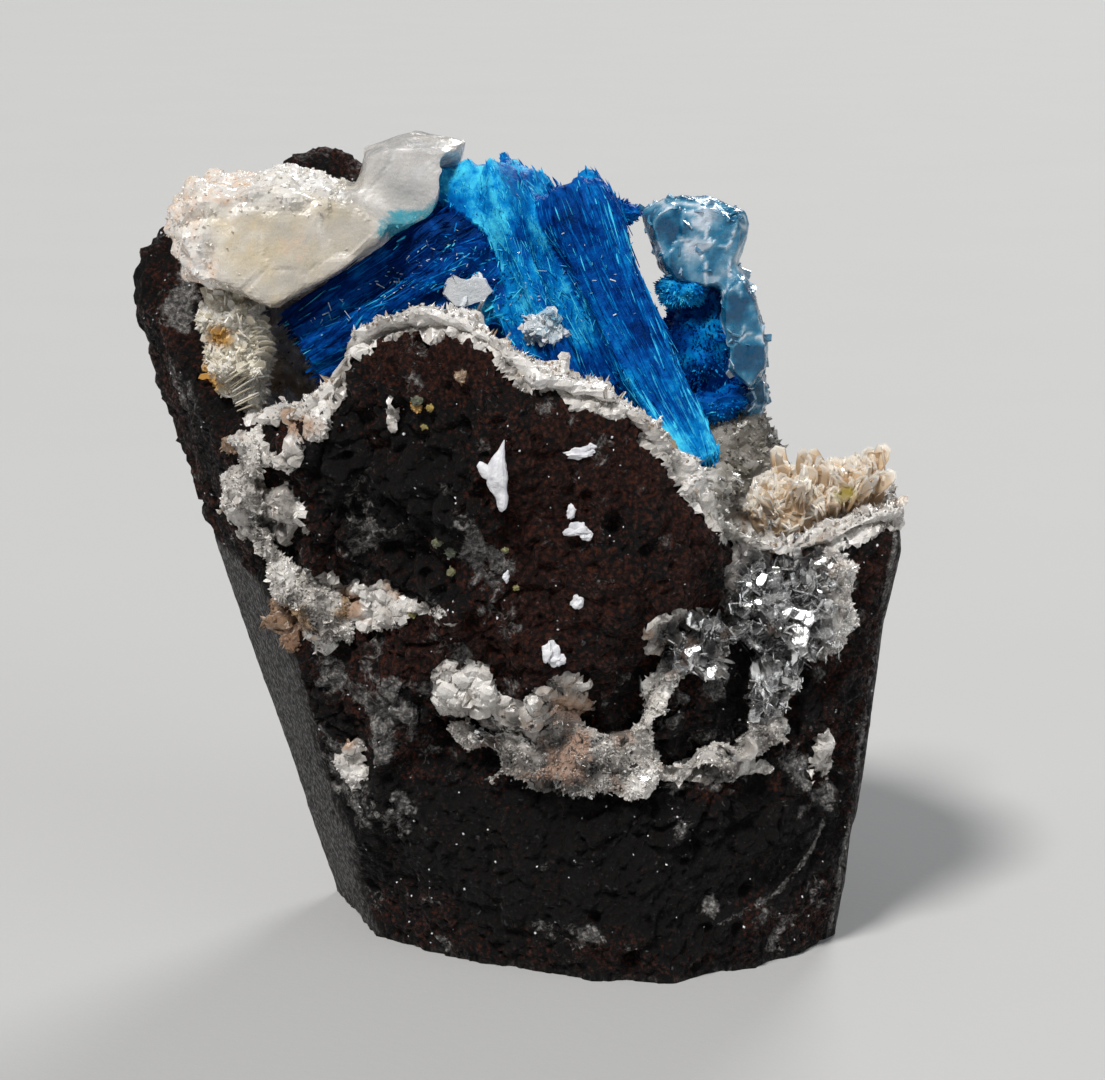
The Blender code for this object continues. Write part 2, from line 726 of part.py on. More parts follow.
def crystal_fillings(tree, ground, cream_grown, rock_close):
    """The masses of small crystals round the hollow and in the breaks of the rock's front.

    The left edge is also cut by a less grown rock, because the larger one folds over in a crease.
    """
    wall = free_masses(WALL_MASSES, WALL_OUT)
    shoulder = free_masses(SHOULDER_MASSES, SHOULDER_OUT)
    vein, edge, drop = (
        on_front(tree, swellings, FRONT_DEPTH)
        for swellings in (VEIN_SWELLINGS, EDGE_SWELLINGS, DROP_SWELLINGS)
    )
    crystal_masses("stilbite_wall", wall, "cream_stilbite", 35, 2, [*ground, cream_grown])
    crystal_masses("stilbite_shoulder", shoulder, "tan_stilbite", 62, 6, ground)
    crystal_masses("stilbite_vein", vein, "stilbite", 86, 1, ground)
    crystal_masses("stilbite_edge", edge, "stilbite", 91, 1, [*ground, rock_close])
    crystal_masses("calcite_drop", drop, "calcite", 99, 0, ground)


def main():
    clear_scene()
    columns = rock_columns()
    raw, normals = rock_surface(columns)
    tree = BVHTree.FromBMesh(raw)
    rock_grown = swell(make_helper("rock_grown", raw.copy()), ROCK_GAP)
    rock_close = swell(make_helper("rock_close", raw.copy()), ROCK_GAP / 3)
    block = saw_block()
    rock = make_object("basalt_matrix", raw, "basalt")
    combine(rock, "INTERSECT", block)

    cavansite_cluster(rock_grown)
    sprays = cluster_envelopes()
    rosette = cavansite_rosette()
    crust_grown = stilbite_crust(columns, normals, [*sprays, rosette], block)
    ground = [crust_grown, rock_grown]
    cream_grown = stilbite_sheaf([*ground, *sprays])
    stilbite_rear_plates([rosette])
    crystal_fillings(tree, ground, cream_grown, rock_close)

    pieces = [obj for obj in bpy.data.objects if not obj.hide_render]
    helpers = [obj for obj in bpy.data.objects if obj.hide_render]
    for piece in pieces:
        settle(piece)
    for helper in helpers:
        bpy.data.objects.remove(helper)


main()
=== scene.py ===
"""The looks of the cavansite specimen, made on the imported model.

Every size and place is in millimetres, in the model's frame: +Z up, and the front faces -Y.
Fine surfaces are made as arrays of points and triangles, and become meshes at the end.
"""

import itertools
import math

import bmesh
import bpy
import numpy as np
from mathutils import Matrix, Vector
from mathutils.kdtree import KDTree


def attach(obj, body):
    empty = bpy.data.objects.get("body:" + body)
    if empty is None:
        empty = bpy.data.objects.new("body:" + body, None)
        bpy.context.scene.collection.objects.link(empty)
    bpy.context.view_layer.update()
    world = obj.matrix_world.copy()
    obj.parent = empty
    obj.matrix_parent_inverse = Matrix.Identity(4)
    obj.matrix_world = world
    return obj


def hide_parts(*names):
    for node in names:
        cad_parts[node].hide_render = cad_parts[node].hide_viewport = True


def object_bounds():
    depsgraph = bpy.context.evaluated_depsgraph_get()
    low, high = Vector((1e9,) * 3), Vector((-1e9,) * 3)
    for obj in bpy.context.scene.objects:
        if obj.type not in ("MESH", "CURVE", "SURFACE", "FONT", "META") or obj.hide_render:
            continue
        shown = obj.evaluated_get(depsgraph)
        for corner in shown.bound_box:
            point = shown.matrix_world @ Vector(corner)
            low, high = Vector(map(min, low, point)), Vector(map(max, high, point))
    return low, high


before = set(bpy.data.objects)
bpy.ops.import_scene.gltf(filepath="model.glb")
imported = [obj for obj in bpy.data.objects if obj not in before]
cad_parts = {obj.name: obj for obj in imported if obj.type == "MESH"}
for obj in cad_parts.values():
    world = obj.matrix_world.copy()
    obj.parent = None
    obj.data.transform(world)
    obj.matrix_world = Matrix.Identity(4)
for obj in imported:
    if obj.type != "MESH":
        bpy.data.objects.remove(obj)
cad_box = [list(corner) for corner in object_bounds()]

MM = 0.001
LOWEST, HIGHEST = (np.array(corner) / MM for corner in cad_box)

# The photo's view: the camera looks along +Y and down, at a point near the middle.
VIEW_TARGET, VIEW_DISTANCE, VIEW_ELEVATION = (1.94, 0.0, 23.5), 183.2, 12.0
LENS, SENSOR = 100.0, 36.0

# The saw cuts, as x at the origin, and how x grows with z and with y.
SAWN_LEFT, SAWN_RIGHT = (-9.98, -0.317, -0.346), (19.1, 0.13, 0.04)

# Each spray's axis, from its foot to its tip, and its radii there. Arrays number them in this order.
SPRAYS = {
    "column": {"foot": (10.4, -8.6, 29.6), "tip": (4.8, -2.6, 44.6), "radii": (1.1, 2.5)},
    "fan": {"foot": (4.4, -5.6, 30.4), "tip": (-0.8, -0.4, 45.0), "radii": (2.8, 4.0)},
    "left": {"foot": (-11.6, -4.2, 34.9), "tip": (-2.0, -2.8, 40.4), "radii": (2.6, 3.4)},
}
COLUMN, FAN = 0, 1
ROSETTE_CENTRE = (11.2, 3.2, 34.8)

# Farther than any distance that matters.
FAR = 99.0


# Numbers for every point of an array


def ramp(values, low, high):
    """Rises smoothly from 0 at low to 1 at high."""
    t = np.clip((values - low) / (high - low), 0.0, 1.0)
    return t * t * (3 - 2 * t)


def unit(vectors):
    return vectors / np.maximum(np.linalg.norm(vectors, axis=-1, keepdims=True), 1e-9)


# Factors and shifts that mix a cell's whole numbers.
CELL_FACTORS, SEED_FACTOR = np.array((73856093, 19349663, 83492791)), 2654435761
MIXING = ((15, 0x2C1B3C6D), (12, 0x297A2D39))
BITS_32, BITS_24 = 0xFFFFFFFF, 0xFFFFFF


def hashed(cells, seed):
    """A pseudo-random number from 0 to 1 for each whole-numbered cell."""
    mixed = (cells @ CELL_FACTORS + seed * SEED_FACTOR) & BITS_32
    for shift, factor in MIXING:
        mixed = ((mixed ^ (mixed >> shift)) * factor) & BITS_32
    return ((mixed ^ (mixed >> MIXING[0][0])) & BITS_24) / BITS_24


def noise(points, size, seed=0):
    """Smooth noise from -1 to 1, with lumps about this size."""
    scaled = points / size
    cell = np.floor(scaled)
    t = scaled - cell
    t = t * t * t * (t * (6 * t - 15) + 10)
    cell = cell.astype(np.int64)
    total = np.zeros(len(points))
    for corner in itertools.product((0, 1), repeat=3):
        weight = np.prod(np.where(corner, t, 1 - t), axis=1)
        total += weight * hashed(cell + corner, seed)
    return 2 * total - 1


# A rotation between the sizes of noise, so that their cells don't line up.
TURN = np.array(((0.36, 0.48, -0.8), (-0.8, 0.6, 0.0), (0.48, 0.64, 0.6)))


def rough(points, size, octaves, seed=0, gain=0.5):
    """Noise of several sizes, each half the last and turned, from about -1 to 1."""
    total, weight, turned = 0.0, 1.0, points
    for octave in range(octaves):
        turned = turned @ TURN
        total = total + weight * noise(turned, size / 2**octave, seed + octave)
        weight *= gain
    return total


def grains(points, size, seed=0):
    """A packing of grains: how near each point's centre is, how far its border, and its number."""
    scaled = points / size
    cell = np.floor(scaled).astype(np.int64)
    nearest, second = np.full((2, len(points)), FAR)
    own = np.zeros(len(points))
    for step in itertools.product((-1, 0, 1), repeat=3):
        there = cell + step
        centre = there + np.stack([hashed(there, seed + k) for k in range(3)], axis=1)
        away = np.linalg.norm(scaled - centre, axis=1)
        closer = away < nearest
        second = np.where(closer, nearest, np.minimum(second, away))
        own = np.where(closer, hashed(there, seed + 9), own)
        nearest = np.where(closer, away, nearest)
    return nearest, second - nearest, own


# Surfaces, as points and triangles


def arrays_of(mesh):
    mesh.calc_loop_triangles()
    points = np.empty(len(mesh.vertices) * 3, np.float32)
    mesh.vertices.foreach_get("co", points)
    triangles = np.empty(len(mesh.loop_triangles) * 3, np.int32)
    mesh.loop_triangles.foreach_get("vertices", triangles)
    return points.reshape(-1, 3).astype(float) / MM, triangles.reshape(-1, 3).astype(np.int64)


def remeshed(node, voxel, finer=None):
    """A node's solid as an even mesh. Faces that finer picks, from centre and normal, are cut in four."""
    copy = bpy.data.objects.new("remesh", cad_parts[node].data.copy())
    bpy.context.scene.collection.objects.link(copy)
    modifier = copy.modifiers.new("even", "REMESH")
    modifier.mode = "VOXEL"
    modifier.voxel_size = voxel * MM
    graph = bpy.context.evaluated_depsgraph_get()
    mesh = bpy.data.meshes.new_from_object(copy.evaluated_get(graph))
    bpy.data.objects.remove(copy)
    if finer:
        bm = bmesh.new()
        bm.from_mesh(mesh)
        for face in bm.faces:
            face.tag = finer(face.calc_center_median() / MM, face.normal)
        edges = [edge for edge in bm.edges if any(face.tag for face in edge.link_faces)]
        bmesh.ops.subdivide_edges(bm, edges=edges, cuts=1, use_grid_fill=True)
        bm.to_mesh(mesh)
        bm.free()
    found = arrays_of(mesh)
    bpy.data.meshes.remove(mesh)
    return found


def normals_of(points, triangles):
    a, b, c = (points[triangles[:, k]] for k in range(3))
    cross = np.cross(b - a, c - a)
    total = np.zeros_like(points)
    for k, axis in itertools.product(range(3), repeat=2):
        total[:, axis] += np.bincount(triangles[:, k], cross[:, axis], len(points))
    return unit(total)


def relaxed(points, triangles, rounds):
    """Evens out a surface by moving each point halfway to the middle of its neighbours."""
    start, end = np.concatenate([triangles[:, pair] for pair in ((0, 1), (1, 2), (2, 0))]).T
    count = np.maximum(np.bincount(start, minlength=len(points)), 1)
    for _ in range(rounds):
        middle = [np.bincount(start, points[end, axis], len(points)) / count for axis in range(3)]
        points = (points + np.stack(middle, axis=1)) / 2
    return points


def raised(points, triangles, lift):
    """The surface's points moved outwards, each by its own lift."""
    return points + normals_of(points, triangles) * lift[:, None]


def lumpy(node, voxel, rounds, size, seed):
    """A node's solid as an even mesh, and how far each point is from the middle of its lump."""
    points, triangles = remeshed(node, voxel)
    points = relaxed(points, triangles, rounds)
    return points, triangles, grains(points, size, seed)[0]


def swollen(points, swellings):
    """The points moved by swellings, each a centre, a reach and a shift."""
    for centre, reach, shift in swellings:
        share = 1 - ramp(np.linalg.norm(points - centre, axis=1), 0.2 * reach, reach)
        points = points + share[:, None] * shift
    return points


def scattered(surface, count, rng, weight=None):
    """Random places on a surface, with the outward direction at each."""
    points, triangles = surface
    a, b, c = (points[triangles[:, k]] for k in range(3))
    cross = np.cross(b - a, c - a)
    area = np.linalg.norm(cross, axis=1)
    if weight is not None:
        area = area * weight((a + b + c) / 3, unit(cross))
    chosen = rng.choice(len(area), count, p=area / area.sum())
    u, v = rng.random((2, count, 1))
    folded = u + v > 1
    u, v = np.where(folded, 1 - u, u), np.where(folded, 1 - v, v)
    return a[chosen] * (1 - u - v) + b[chosen] * u + c[chosen] * v, unit(cross[chosen])


def tree_of(points):
    tree = KDTree(len(points))
    for index, point in enumerate(points):
        tree.insert(point, index)
    tree.balance()
    return tree


def distance_to(tree, points):
    return np.array([tree.find(point)[2] for point in points])


def joined(parts):
    """Several (points, triangles, tone) as one."""
    points, triangles, tones, first = [], [], [], 0
    for part_points, part_triangles, part_tones in parts:
        points.append(part_points)
        triangles.append(part_triangles + first)
        tones.append(np.broadcast_to(part_tones, len(part_points)))
        first += len(part_points)
    return np.concatenate(points), np.concatenate(triangles), np.concatenate(tones)


# Crystal shapes, as points and triangles in a box from (-0.5, -0.5, 0) to (0.5, 0.5, 1)


def ring_faces(low, high, sides):
    faces = []
    for k in range(sides):
        n = (k + 1) % sides
        faces += [(low + k, low + n, high + n), (low + k, high + n, high + k)]
    return faces


def tube_faces(levels, sides):
    """The faces of a tube of rings, closed at both ends."""
    faces, last = [], (levels - 1) * sides
    for level in range(levels - 1):
        faces += ring_faces(level * sides, (level + 1) * sides, sides)
    for k in range(1, sides - 1):
        faces += [(0, k + 1, k), (last, last + k, last + k + 1)]
    return np.array(faces)


def tabular(outline, bevel=None):
    """A flat crystal with this outline in x and z, and if bevel is given, bevelled rims."""
    outline = np.array(outline)
    middle = outline.mean(axis=0)
    rings = ((-0.5, 1.0), (0.5, 1.0)) if bevel is None else ((-0.5, bevel), (0.0, 1.0), (0.5, bevel))
    points = []
    for y, size in rings:
        flat = middle + (outline - middle) * size
        points += [(x, y, z) for x, z in flat]
    return np.array(points), tube_faces(len(rings), len(outline))


def pointed(sides, rings):
    """A crystal of rings, each a height and a width, with a point at its end."""
    turns = [2 * math.pi * (k + 0.5) / sides for k in range(sides)]
    points = [(math.cos(t) * w / 2, math.sin(t) * w / 2, z) for z, w in rings for t in turns]
    faces = []
    for level in range(len(rings) - 1):
        faces += ring_faces(level * sides, (level + 1) * sides, sides)
    tip, last = len(points), (len(rings) - 1) * sides
    points.append((0.0, 0.0, 1.0))
    faces += [(last + k, last + (k + 1) % sides, tip) for k in range(sides)]
    faces += [(0, k + 1, k) for k in range(1, sides - 1)]
    return np.array(points), np.array(faces)


BLADE = tabular(((-0.42, 0.0), (0.42, 0.0), (0.5, 0.72), (0.12, 1.0), (-0.5, 0.78)))
LARGE_BLADE = tabular(
    ((-0.36, 0.0), (0.36, 0.0), (0.5, 0.55), (0.46, 0.86), (0.1, 1.0), (-0.42, 0.9), (-0.5, 0.5)), 0.86
)
SPIKE = pointed(4, ((0.0, 0.9), (0.6, 1.0)))
SUGAR = pointed(4, ((0.0, 0.7), (0.45, 1.0)))
NEEDLE = pointed(3, ((0.0, 0.5), (0.8, 1.0)))
LATH = pointed(4, ((0.0, 0.8), (0.94, 0.9)))

# Thickness as a share of width, least and most, of stout crystals and of blades.
STOUT, FLAT = (0.5, 1.0), (0.12, 0.25)


def rolls(rng, count):
    return rng.uniform(0, math.pi, count)


def sized(width, thickness, length):
    return np.stack([width, thickness, length], axis=1)


def stood(shape, places, directions, sizes, turns, tones, faced=None):
    """Copies of a crystal shape that stand on places, as points, triangles and tones.

    Sizes are width, thickness and length. A copy is turned about its direction, or its flat side
    faces the way given.
    """
    corners, faces = shape
    directions = unit(directions)
    if faced is None:
        steep = np.abs(directions[:, 2:]) > 0.9
        side = unit(np.cross(directions, np.where(steep, (1.0, 0.0, 0.0), (0.0, 0.0, 1.0))))
        other = np.cross(directions, side)
        side = side * np.cos(turns)[:, None] + other * np.sin(turns)[:, None]
    else:
        side = unit(np.cross(directions, faced))
    across = np.cross(directions, side)
    local = corners[None] * sizes[:, None]
    points = places[:, None] + local[..., :1] * side[:, None]
    points = points + local[..., 1:2] * across[:, None] + local[..., 2:] * directions[:, None]
    first = np.arange(len(places)) * len(corners)
    triangles = faces[None] + first[:, None, None]
    tones = np.repeat(np.broadcast_to(tones, len(places)), len(corners))
    return points.reshape(-1, 3), triangles.reshape(-1, 3), tones


def druse(surface, count, rng, shape, sizes, lean=0.5, weight=None, sunk=0.3, tones=(0.3, 1.0)):
    """Small crystals that grow out of a surface.

    Sizes are the least and most width, thickness as a share of it, and length.
    """
    places, out = scattered(surface, count, rng, weight)
    (thin, wide), (flat, thick), (short, long) = sizes
    directions = unit(out + lean * rng.normal(size=(count, 3)))
    length = short + (long - short) * rng.random(count) ** 1.6
    width = (thin + (wide - thin) * rng.random(count)) * (0.7 + 0.3 * length / long)
    size = sized(width, width * rng.uniform(flat, thick, count), length)
    places = places - directions * (sunk * length)[:, None]
    return stood(shape, places, directions, size, rolls(rng, count), rng.uniform(*tones, count))


# Materials


class Look:
    """A Principled material that is built up from nodes, on a surface measured in millimetres."""

    def __init__(self, name, **values):
        self.material = bpy.data.materials.new(name)
        self.material.use_nodes = True
        self.tree = self.material.node_tree
        self.shader = self.tree.nodes["Principled BSDF"]
        for socket, value in values.items():
            self.put(self.shader, socket.replace("_", " "), value)
        place = self.tree.nodes.new("ShaderNodeTexCoord").outputs["Object"]
        self.place = self.add("ShaderNodeVectorMath", "SCALE", {0: place, "Scale": 1 / MM}, out=0)

    def put(self, node, socket, value):
        if isinstance(value, bpy.types.NodeSocket):
            self.tree.links.new(value, node.inputs[socket])
        elif isinstance(value, tuple) and len(value) == 3 and node.inputs[socket].type == "RGBA":
            node.inputs[socket].default_value = (*value, 1.0)
        else:
            node.inputs[socket].default_value = value

    def add(self, kind, operation=None, inputs=None, out=0, **settings):
        node = self.tree.nodes.new(kind)
        if operation:
            node.operation = operation
        for name, value in settings.items():
            setattr(node, name, value)
        for socket, value in (inputs or {}).items():
            self.put(node, socket, value)
        return node.outputs[out]

    def mask(self, name):
        return self.add("ShaderNodeAttribute", attribute_name=name, out="Fac")

    def math(self, operation, a, b=0.0, c=0.0):
        return self.add("ShaderNodeMath", operation, {0: a, 1: b, 2: c})

    def cloud(self, size, detail=4.0, roughness=0.6, stretch=None, distortion=0.0):
        """Noise from 0 to 1, with lumps about this size."""
        place = self.place
        if stretch:
            place = self.add("ShaderNodeVectorMath", "MULTIPLY", {0: place, 1: stretch})
        inputs = {"Vector": place, "Scale": 1 / size, "Detail": detail, "Roughness": roughness}
        inputs["Distortion"] = distortion
        return self.add("ShaderNodeTexNoise", inputs=inputs, out="Fac")

    def ramp(self, value, low, high, least=0.0, most=1.0):
        """Rises smoothly from least to most as the value goes from low to high."""
        inputs = {"Value": value, "From Min": low, "From Max": high, "To Min": least, "To Max": most}
        return self.add("ShaderNodeMapRange", inputs=inputs, interpolation_type="SMOOTHSTEP")

    def mix(self, share, a, b):
        inputs = {"Factor": share, 6: a, 7: b}
        return self.add("ShaderNodeMix", inputs=inputs, data_type="RGBA", out=2)

    def colours(self, value, stops):
        """A colour for each value, between (value, colour) stops."""
        node = self.tree.nodes.new("ShaderNodeValToRGB")
        self.tree.links.new(value, node.inputs[0])
        elements = node.color_ramp.elements
        while len(elements) < len(stops):
            elements.new(0.5)
        for element, (position, colour) in zip(elements, stops):
            element.position = position
            element.color = (*colour, 1.0)
        return node.outputs[0]

    def centred(self, value, amount):
        """A value from 0 to 1, scaled to lie within half this amount of 0."""
        return self.math("MULTIPLY_ADD", value, amount, -amount / 2)

    def soaked(self, colour, tint, mask, cloud, amount, span):
        """Mixes in a tint where a mask reaches the span, with a border that the cloud makes ragged."""
        share = self.ramp(self.math("ADD", self.mask(mask), self.centred(cloud, amount)), *span)
        return self.mix(share, colour, tint)

    def finish(self, colour, height, dents, roughness=None):
        """Sets the colour, dents of up to this depth and any roughness, and gives the material."""
        self.put(self.shader, "Base Color", colour)
        if roughness is not None:
            self.put(self.shader, "Roughness", roughness)
        inputs = {"Height": height, "Distance": dents * MM, "Strength": 1.0}
        self.put(self.shader, "Normal", self.add("ShaderNodeBump", inputs=inputs))
        return self.material


# Colours by grit, from the hollows of the rock's grain to its crests.
DARK_STONE = ((0.36, (0.0015, 0.0012, 0.0013)), (0.62, (0.0095, 0.0075, 0.007)))
RUSTY_STONE = (
    (0.36, (0.0035, 0.0014, 0.001)), (0.5, (0.022, 0.0063, 0.0036)), (0.63, (0.09, 0.026, 0.0145)),
)
FILM_GREYS = ((0.38, (0.05, 0.047, 0.047)), (0.5, (0.18, 0.172, 0.168)), (0.63, (0.58, 0.55, 0.52)))
SAWN_GREYS = (
    (0.4, (0.004, 0.0037, 0.0036)), (0.53, (0.017, 0.0155, 0.0145)), (0.64, (0.14, 0.13, 0.125)),
)
FLECK_GREY = (0.16, 0.16, 0.175)
# How much of the grit's roughness is left on the saw cuts.
SAWN_GRIT = 0.07


def basalt_look():
    """Dark and rusty rock with pale flecks and a grey film, and smoother where it is sawn. It is darkened
    by painted shade low on the front and in its pits, and a painted highlight lines the right cut's front
    edge.
    """
    look = Look("basalt_broken", IOR=1.5, Specular_IOR_Level=0.2)
    speckle = look.cloud(0.26, 6.0, 0.8)
    pores = {"Vector": look.place, "Scale": 1 / 0.3}
    bits = look.add("ShaderNodeTexVoronoi", inputs=pores, out="Distance")
    grit = look.math("MULTIPLY_ADD", bits, -0.28, look.math("ADD", speckle, 0.13))
    patches = look.centred(look.cloud(1.7, 5.0, 0.7), 1.6)
    rust = look.math("ADD", look.mask("rust"), look.centred(grit, 2.2))
    rust = look.ramp(look.math("ADD", rust, patches), 0.25, 0.75)
    stone = look.mix(rust, look.colours(grit, DARK_STONE), look.colours(grit, RUSTY_STONE))
    flecks = look.ramp(look.cloud(0.36, 4.0, 0.65, distortion=0.6), 0.64, 0.7)
    stone = look.mix(look.math("MULTIPLY", flecks, look.mask("fleck")), stone, FLECK_GREY)
    film_colour = look.colours(look.cloud(0.3, 5.0, 0.75), FILM_GREYS)
    ragged = look.cloud(0.5, 6.0, 0.75, distortion=1.0)
    stone = look.soaked(stone, film_colour, "film", ragged, 1.8, (0.45, 0.8))
    mottle = look.cloud(0.45, 6.0, 0.75, stretch=(1.7, 1.7, 0.6))
    stone = look.mix(look.mask("sawn"), stone, look.colours(mottle, SAWN_GREYS))
    broken = look.math("SUBTRACT", 1.0, look.mask("sawn"))
    height = look.math("MULTIPLY", grit, look.math("MULTIPLY_ADD", broken, 1 - SAWN_GRIT, SAWN_GRIT))
    return look.finish(stone, height, 0.55, look.ramp(grit, 0.4, 0.62, 0.9, 0.34))


# From the deepest blue to the palest.
BLUES = (
    (0.0, (0.0003, 0.0035, 0.035)), (0.28, (0.0004, 0.017, 0.135)), (0.5, (0.0008, 0.062, 0.3)),
    (0.74, (0.0015, 0.2, 0.52)), (1.0, (0.06, 0.56, 0.78)),
)


def cavansite_look(name="cavansite_fibres"):
    sheen = {"Specular_IOR_Level": 0.15, "Specular_Tint": (0.1, 0.6, 1.0, 1.0)}
    look = Look(name, Roughness=0.42, IOR=1.5, **sheen)
    value = look.math("ADD", look.mask("tone"), look.centred(look.cloud(0.8, 5.0, 0.7), 1.0))
    return look.finish(look.colours(value, BLUES), look.cloud(0.12, 4.0), 0.05)


# From where to where a mask and its ragged cloud make a stain and a speck of dirt.
STAIN_SPAN, DIRT_SPAN = (0.3, 0.8), (0.45, 0.6)
DIRT_BROWN = (0.012, 0.008, 0.007)


def crystal_look(
    name, clear, colours, roughness, stain=None, warmth=None, blue=None, cloud=1.2, coat=0.0, dents=0.06
):
    """A translucent crystal, with colours from its darkest to its palest tone."""
    look = Look(name, IOR=1.5, Transmission_Weight=clear, Coat_Weight=coat, Coat_Roughness=0.05)
    value = look.math("ADD", look.mask("tone"), look.centred(look.cloud(cloud, 5.0, 0.6), 0.8))
    stops = [(0.1 + 0.8 * k / (len(colours) - 1), colour) for k, colour in enumerate(colours)]
    colour = look.colours(value, stops)
    if warmth:
        tint = look.math("MULTIPLY", look.mask("warm"), look.ramp(look.cloud(1.5), 0.3, 0.7, 0.5, 1.2))
        colour = look.mix(tint, colour, warmth)
    if stain:
        colour = look.soaked(colour, stain, "stain", look.cloud(0.8), 1.2, STAIN_SPAN)
    if blue:
        colour = look.soaked(colour, blue, "blue", look.cloud(0.6, 4.0, 0.7), 1.4, STAIN_SPAN)
    colour = look.soaked(colour, DIRT_BROWN, "dirt", look.cloud(0.5, 5.0, 0.7), 1.6, DIRT_SPAN)
    gloss = look.ramp(look.cloud(0.5, 3.0), 0.3, 0.7, *roughness)
    return look.finish(colour, look.cloud(0.3), dents, gloss)


def floor_look():
    look = Look("floor_card", Roughness=0.85)
    grey = look.mix(look.cloud(40.0, 3.0), (0.42, 0.42, 0.42), (0.44, 0.44, 0.438))
    return look.finish(grey, look.cloud(0.6, 3.0), 0.02)


# Pieces


def piece(name, surface, material, slot, node=None, smooth=False, **masks):
    """A mesh object from arrays in millimetres, kept inside the model's box, with its masks."""
    points, triangles = surface
    points = np.clip(points, LOWEST, HIGHEST)
    mesh = bpy.data.meshes.new(name)
    mesh.vertices.add(len(points))
    mesh.vertices.foreach_set("co", (points * MM).astype(np.float32).ravel())
    mesh.loops.add(triangles.size)
    mesh.loops.foreach_set("vertex_index", triangles.astype(np.int32).ravel())
    mesh.polygons.add(len(triangles))
    mesh.polygons.foreach_set("loop_start", np.arange(len(triangles), dtype=np.int32) * 3)
    mesh.polygons.foreach_set("use_smooth", np.full(len(triangles), smooth))
    mesh.update(calc_edges=True)
    for mask, values in masks.items():
        layer = mesh.attributes.new(mask, "FLOAT", "POINT")
        layer.data.foreach_set("value", np.clip(values, 0.0, 1.0).astype(np.float32))
    mesh.materials.append(material)
    obj = bpy.data.objects.new(name, mesh)
    bpy.context.scene.collection.objects.link(obj)
    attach(obj, "root")
    if node:
        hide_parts(node)
    print(name, len(triangles), "triangles")


def near(points, spots, soft=0.35, front=2.0):
    """From 1 inside to 0 outside spots in front, each x, z, half width and half height."""
    most = np.zeros(len(points))
    for x, z, wide, high in spots:
        away = np.hypot((points[:, 0] - x) / wide, (points[:, 2] - z) / high)
        most = np.maximum(most, 1 - ramp(away, 1 - soft, 1 + soft))
    return most * (points[:, 1] < front)


# Spots on the front, each x, z, half width and half height: grey films, rust, dark rock with painted shade,
# and crags.
FILMS = (
    (-19.9, 38.4, 1.3, 2.3), (-7.5, 15.4, 2.0, 3.0), (-2.3, 26.5, 0.7, 2.0), (3.0, 2.9, 1.7, 0.9),
    (17.0, 12.4, 1.0, 2.0),
)
THIN_FILMS = (
    (-8.3, 15.5, 4.5, 6.5), (-4.0, 21.3, 3.6, 2.0), (16.6, 13.0, 2.6, 4.5), (9.5, 15.5, 6.5, 3.5),
    (-1.6, 25.5, 1.6, 3.2), (14.0, 3.6, 3.6, 1.6), (-9.4, 29.4, 1.7, 1.5), (-8.8, 26.0, 2.2, 1.2),
    (-19.4, 33.0, 1.2, 2.0), (-5.6, 35.4, 0.7, 1.0), (-6.2, 10.8, 3.0, 2.4),
)
SAW_EDGE_FILM = ((-10.0, 11.3, 1.2, 1.8),)
RUSTY = (
    (4.6, 26.5, 7.2, 8.5), (-3.0, 19.5, 4.6, 3.0), (7.5, 33.0, 4.0, 2.4), (-5.0, 36.5, 3.2, 1.8),
    (9.4, 31.0, 2.2, 3.4),
)
# Dark rock; the last, wide spot low on the front is painted shade, where the front turns down away from the
# light.
DARK_ROCK_AND_LOW_SHADE = ((-6.5, 28.5, 4.6, 6.0), (6.5, 27.5, 2.4, 2.0), (6.8, 21.0, 4.2, 1.8), (2.0, 8.0, 14.0, 5.0))
DEEP_CRAGS = ((-7.5, 28.5, 5.5, 6.5), (-4.5, 35.5, 3.5, 2.0))
CRAGGY = ((-7.0, 27.5, 7.5, 9.0), (-8.0, 29.0, 4.5, 5.5), (-5.0, 17.0, 9.0, 5.0), (10.0, 12.0, 10.0, 6.0))
# A thin white vein low on the right, as x and z.
VEINLET = ((11.5, 3.2), (13.4, 3.7), (15.1, 4.4), (16.4, 5.8), (17.4, 7.5), (18.0, 9.5))


def along(points, route, half_width):
    """From 1 on a line through places on the front to 0 beyond its half width."""
    flat = points[:, (0, 2)]
    least = np.full(len(points), FAR)
    for start, end in zip(np.array(route), np.array(route)[1:]):
        run = end - start
        t = np.clip((flat - start) @ run / (run @ run), 0, 1)[:, None]
        least = np.minimum(least, np.linalg.norm(flat - start - t * run, axis=1))
    return (1 - ramp(least, half_width * 0.4, half_width)) * (points[:, 1] < 2)


def from_cut(points, cut):
    """How far to the right of a saw cut each point is."""
    x, y, z = points.T
    at_origin, with_z, with_y = cut
    return x - (at_origin + with_z * z + with_y * y)


def sawn_share(points):
    """1 on the saw cuts and the base, and 0 on broken rock. The left cut is torn off above."""
    z = points[:, 2]
    torn = 4.0 * ramp(z + 1.5 * rough(points, 5.0, 2, 39), 22.0, 27.0)
    to_left = np.abs(from_cut(points, SAWN_LEFT)) + torn
    to_right = np.abs(from_cut(points, SAWN_RIGHT))
    return 1 - ramp(np.minimum.reduce([to_left, to_right, z]), 0.15, 0.45)


